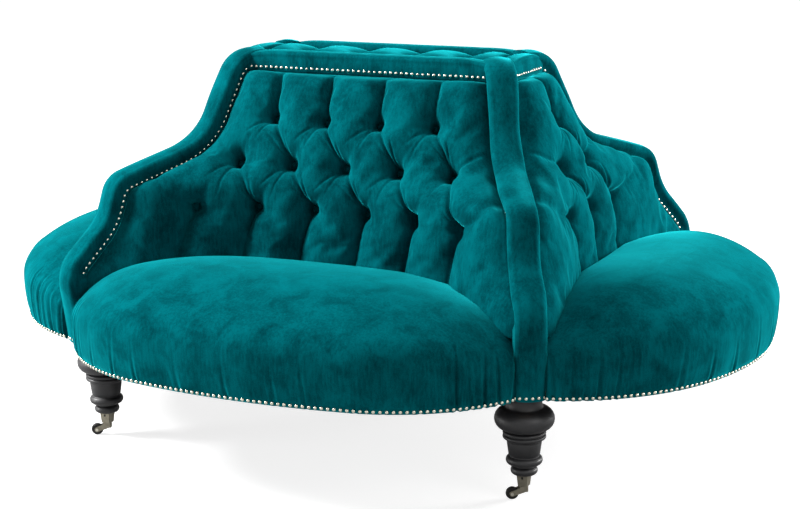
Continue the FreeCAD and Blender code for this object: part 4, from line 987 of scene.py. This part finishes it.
section = border_section()
rings = []
for i, (x, y, nx, ny) in enumerate(rounded_path(*BORDER_HALF, WING_HALF, BORDER_STEP)):
    near = math.hypot(TOWER[0] - abs(x - nx * WING_HALF), TOWER[1] - abs(y - ny * WING_HALF))
    dip = CORNER_DIP * math.exp(-(near / CORNER_DIP_REACH) ** 2)
    inward = section[:, 0] + 0.0007 * math.sin(i * 0.31) + 0.0005 * math.sin(i * 0.83)
    height = section[:, 1] - dip * np.clip((section[:, 1] - TOWER_TOP + 0.03) / 0.03, 0, 1)
    rings.append(np.stack([x - nx * inward, y - ny * inward, height], 1))
rings = np.array(rings + rings[:1])
verts, faces = skin(rings)
faces = [face for face in faces if max(face) < len(rings) * len(section)]
border = piece("top_band", (verts[:-2], faces), velvet, "velvet", "top_border")

px, py = [half - BORDER_WIDTH - SEAM_GAP for half in BORDER_HALF]
pleat_xs = [k * PAD_SHAPES[LONG]["spacing"] for k in TOP_PLEATS]
gx, gy = np.meshgrid(np.linspace(-px, px, PAD_GRID[0]), np.linspace(-py, py, PAD_GRID[1]), indexing="ij")
loose = np.ones(gx.shape)
for x in pleat_xs:
    for end in (-1, 1):
        fold = Fold((x, 0.0), (x, end * py), SHORT_BOW * end, *CROSS_PLEAT)
        loose *= 1 - fold_share(gx, gy, fold)[0]
rim_y = 1 - PAD_RIM * np.exp(-(py - np.abs(gy)) / PAD_RIM_WIDTH)
rim_x = 1 - PAD_RIM * np.exp(-(px - np.abs(gx)) / PAD_RIM_WIDTH)
crown = 1 - PAD_FALL * (gy / py) ** 2
top = TOWER_TOP - PAD_DROP + PAD_CROWN * loose * rim_y * rim_x * crown - PAD_SINK
low = np.full(gx.shape, TOWER_TOP - BORDER_HEIGHT)
upper = np.stack([gx, gy, top], -1)
lower = np.stack([gx, gy, low], -1)[:, [-1, 0]]
pad = piece("top_tufted_pad", skin(np.concatenate([upper, lower], axis=1)), velvet, "velvet", "top_pad")
spots = [(x, 0.0, TOWER_TOP - PAD_DROP - BUTTON_DROP) for x in pleat_xs]
set_heads("top_buttons", spots, [(0, 0, 1)] * len(spots), velvet, "velvet", BUTTON_HEAD)

# Nailheads: domed brass nails, set close along the base, up the wings' inner sides and round the tower.
# They hold the velvet's turned edge to the rails and boards.
NAIL_PITCH, NAIL_BASE_HEIGHT, NAIL_TOP_HEIGHT, NAIL_SINK = 0.0146, 0.266, 0.909, 0.0006
NAIL_HEAD = dict(Head_Diameter=0.0088, Head_Height=0.0028, Segments=9, Rings=5)
BASE_INSET, TOE_TURN, SEAM_START, SEAM_FOOT, NAIL_STEP = 0.0012, 0.95, 0.028, 0.42, 0.003
TOWER_ROW_ENDS = 0.024, 0.014
BASE_ROUND = (
    ("right", "far_right", 1), ("rear", "far_left", -1),
    ("left", "near_left", -1), ("front", "near_right", 1))
NAIL_DARK, NAIL_LIGHT = (0.46, 0.44, 0.34), (0.80, 0.79, 0.68)
nail_brass = metal_finish("polished nail brass", NAIL_DARK, NAIL_LIGHT, 0.16, 0.30, 200.0)


def even_points(points, closed=False):
    """Points of a polyline at the nail pitch, and the direction of the line there."""
    points = np.asarray(points, float)
    if closed:
        points = np.vstack([points, points[:1]])
    lengths = np.concatenate([[0], np.cumsum(np.linalg.norm(np.diff(points, axis=0), axis=1))])
    count = max(2, round(lengths[-1] / NAIL_PITCH))
    at = np.linspace(0, lengths[-1], count + 1)
    if closed:
        at = at[:-1]

    def spot(s):
        s = np.mod(s, lengths[-1]) if closed else np.clip(s, 0, lengths[-1])
        return np.stack([np.interp(s, lengths, points[:, k]) for k in range(3)], 1)

    return spot(at), spot(at + NAIL_STEP) - spot(at - NAIL_STEP)


def base_line(long_side):
    """Line of the base nails on one seat, from its -l end to its +l end."""
    half = [(l, f - BASE_INSET) for l, f in lobe_outline(long_side, 61)[0]]
    whole = [(-l, f) for l, f in half[:0:-1]] + half
    return np.array([(l, f, NAIL_BASE_HEIGHT) for l, f in whole])


def toe_line():
    """Line of the base nails across the foot of a wing."""
    foot = wing_edge(0.0)
    foot_d = float(np.interp(-NAIL_BASE_HEIGHT, -foot[:, 1], foot[:, 0]))
    edge = []
    for t in np.linspace(TOE_TURN, 0, 6):
        edge.append((foot_d - ROLL_EDGE * (1 - math.cos(t)), WING_HALF - ROLL_EDGE * (1 - math.sin(t))))
    flat = [(foot_d + ROLL_CROWN * (1 - t * t), (WING_HALF - ROLL_EDGE) * t) for t in (-0.5, 0.0, 0.5)]
    whole = [(d, -p) for d, p in edge] + flat + edge[::-1]
    return np.array([(*wing_spot(d, p, LONG), NAIL_BASE_HEIGHT) for d, p in whole])


loop = []
for seat, corner, way in BASE_ROUND:
    loop += list(to_side(base_line(seat in SEATS[LONG]), seat)[::way])
    across = toe_line() * np.array([*CORNERS[corner], 1.0])
    nearer = np.linalg.norm(across[0] - loop[-1]) < np.linalg.norm(across[-1] - loop[-1])
    loop += list(across if nearer else across[::-1])
spots, ways = even_points(loop, closed=True)
nail_spots = list(spots)
nail_facings = [(way[1], -way[0], 0.0) for way in ways]

seam = wing_edge(NAIL_INSET)
seam = seam[(seam[:, 0] > SEAM_START) & (seam[:, 1] > SEAM_FOOT) & (seam[:, 1] < NAIL_TOP_HEIGHT)]
for sx, sy in CORNERS.values():
    for hand in (-1, 1):
        x, y = wing_spot(seam[:, 0], hand * (ROLL_NECK - NAIL_SINK), LONG)
        spots = even_points(np.stack([x * sx, y * sy, seam[:, 1]], 1))[0]
        nail_spots += list(spots)
        nail_facings += [(-WING_SIN * hand * sx, WING_COS * hand * sy, 0.0)] * len(spots)

for sign in (-1, 1):
    for axis in (0, 1):
        half = TOWER[axis] - TOWER_ROW_ENDS[axis]
        line = np.full((2, 3), NAIL_TOP_HEIGHT)
        line[:, axis] = -half, half
        line[:, 1 - axis] = sign * BORDER_HALF[1 - axis]
        spots = even_points(line)[0]
        nail_spots += list(spots)
        nail_facings += [(0, sign, 0) if axis == 0 else (sign, 0, 0)] * len(spots)
set_heads("nailheads", nail_spots, nail_facings, nail_brass, "brass", NAIL_HEAD)

# Studio: pale floor, soft lamps and a camera at the photograph's height and angle.
# The floor glows to the camera alone; the world is white to the camera and in reflections, and dim as light.
IMAGE_WIDTH, FOCAL_PIXELS, SENSOR = 800, 1777.0, 36.0
YAW, PITCH, ROLL = math.radians(25.30), math.radians(13.12), math.radians(-0.56)
DISTANCE, LATERAL, EYE = 4.503, 0.0262, 1.4652
FLOOR_HALF, FLOOR_DARK, FLOOR_LIGHT = 40, (0.50, 0.50, 0.50), (0.54, 0.54, 0.54)
LAMPS = {
    "key": dict(place=(-3.9, -1.7, 3.3), aim=(0.0, 0.0, 0.5), size=1.3, watts=410.0),
    "fill": dict(place=(3.8, -1.8, 2.4), aim=(0.3, 0.0, 0.5), size=1.8, watts=32.0),
    "top": dict(place=(0.2, 0.4, 4.2), aim=(0.0, 0.0, 0.5), size=2.0, watts=66.0),
    "rim": dict(place=(3.4, 2.6, 1.3), aim=(0.6, 0.0, 0.3), size=1.4, watts=250.0),
    "low": dict(place=(-2.6, -1.6, 0.55), aim=(-0.4, -0.5, 0.3), size=1.0, watts=34.0)}

view = bpy.data.cameras.new("camera")
view.sensor_fit, view.sensor_width, view.lens = "HORIZONTAL", SENSOR, SENSOR * FOCAL_PIXELS / IMAGE_WIDTH
ahead = Vector((-math.sin(YAW), math.cos(YAW), 0.0))
aside = Vector((math.cos(YAW), math.sin(YAW), 0.0))
look = ahead * math.cos(PITCH) - Vector((0, 0, math.sin(PITCH)))
above = aside.cross(look)
right = aside * math.cos(ROLL) + above * math.sin(ROLL)
up = above * math.cos(ROLL) - aside * math.sin(ROLL)
eye = aside * LATERAL - ahead * DISTANCE + Vector((0, 0, EYE))
camera = bpy.data.objects.new("camera", view)
camera.matrix_world = Matrix.Translation(eye) @ Matrix((right, up, -look)).transposed().to_4x4()
bpy.context.collection.objects.link(camera)
bpy.context.scene.camera = camera

floor_finish, tree, shader = new_finish("pale studio floor", Roughness=0.85, Specular_IOR_Level=0.1,
                                        Emission_Color=(1, 1, 1, 1))
at = add(tree, "ShaderNodeTexCoord")
cloud = add(tree, "ShaderNodeTexNoise", None, Scale=0.6, Detail=2.0)
tree.links.new(at.outputs["Object"], cloud.inputs["Vector"])
tint(tree, shader, cloud.outputs["Fac"], FLOOR_DARK, FLOOR_LIGHT)
seen = add(tree, "ShaderNodeLightPath")
glow = add(tree, "ShaderNodeMath", {"operation": "MULTIPLY"})
away = add(tree, "ShaderNodeVectorMath", {"operation": "LENGTH"})
far = add(tree, "ShaderNodeMapRange", {"interpolation_type": "SMOOTHSTEP"},
          From_Min=0.6, From_Max=2.4, To_Min=0.78, To_Max=1.0)
tree.links.new(at.outputs["Object"], away.inputs[0])
tree.links.new(away.outputs["Value"], far.inputs["Value"])
tree.links.new(far.outputs["Result"], glow.inputs[1])
tree.links.new(seen.outputs["Is Camera Ray"], glow.inputs[0])
tree.links.new(glow.outputs["Value"], shader.inputs["Emission Strength"])
mesh = bpy.data.meshes.new("studio_floor")
mesh.from_pydata([(x * FLOOR_HALF, y * FLOOR_HALF, 0) for x, y in TOE_CORNERS], [], [(0, 1, 2, 3)])
mesh.materials.append(floor_finish)
floor = bpy.data.objects.new("studio_floor", mesh)
bpy.context.collection.objects.link(floor)

world = bpy.data.worlds.new("studio")
bpy.context.scene.world = world
world.use_nodes = True
tree = world.node_tree
backdrop = tree.nodes["Background"]
seen = add(tree, "ShaderNodeLightPath")
shown = seen.outputs["Is Camera Ray"]
for ray in ("Is Glossy Ray", "Is Transmission Ray"):
    either = add(tree, "ShaderNodeMath", {"operation": "MAXIMUM"})
    tree.links.new(shown, either.inputs[0])
    tree.links.new(seen.outputs[ray], either.inputs[1])
    shown = either.outputs["Value"]
strength = add(tree, "ShaderNodeMapRange", None, To_Min=0.085, To_Max=1.0)
tree.links.new(shown, strength.inputs["Value"])
tree.links.new(strength.outputs["Result"], backdrop.inputs["Strength"])
backdrop.inputs["Color"].default_value = (1, 1, 1, 1)

for name, lamp in LAMPS.items():
    light = bpy.data.lights.new(name, "AREA")
    light.shape, light.size, light.energy = "SQUARE", lamp["size"], lamp["watts"]
    place, aim = Vector(lamp["place"]), Vector(lamp["aim"])
    obj = bpy.data.objects.new(name, light)
    obj.matrix_world = Matrix.Translation(place) @ (aim - place).to_track_quat("-Z", "Y").to_matrix().to_4x4()
    bpy.context.collection.objects.link(obj)

bpy.context.scene.view_settings.view_transform = "Standard"
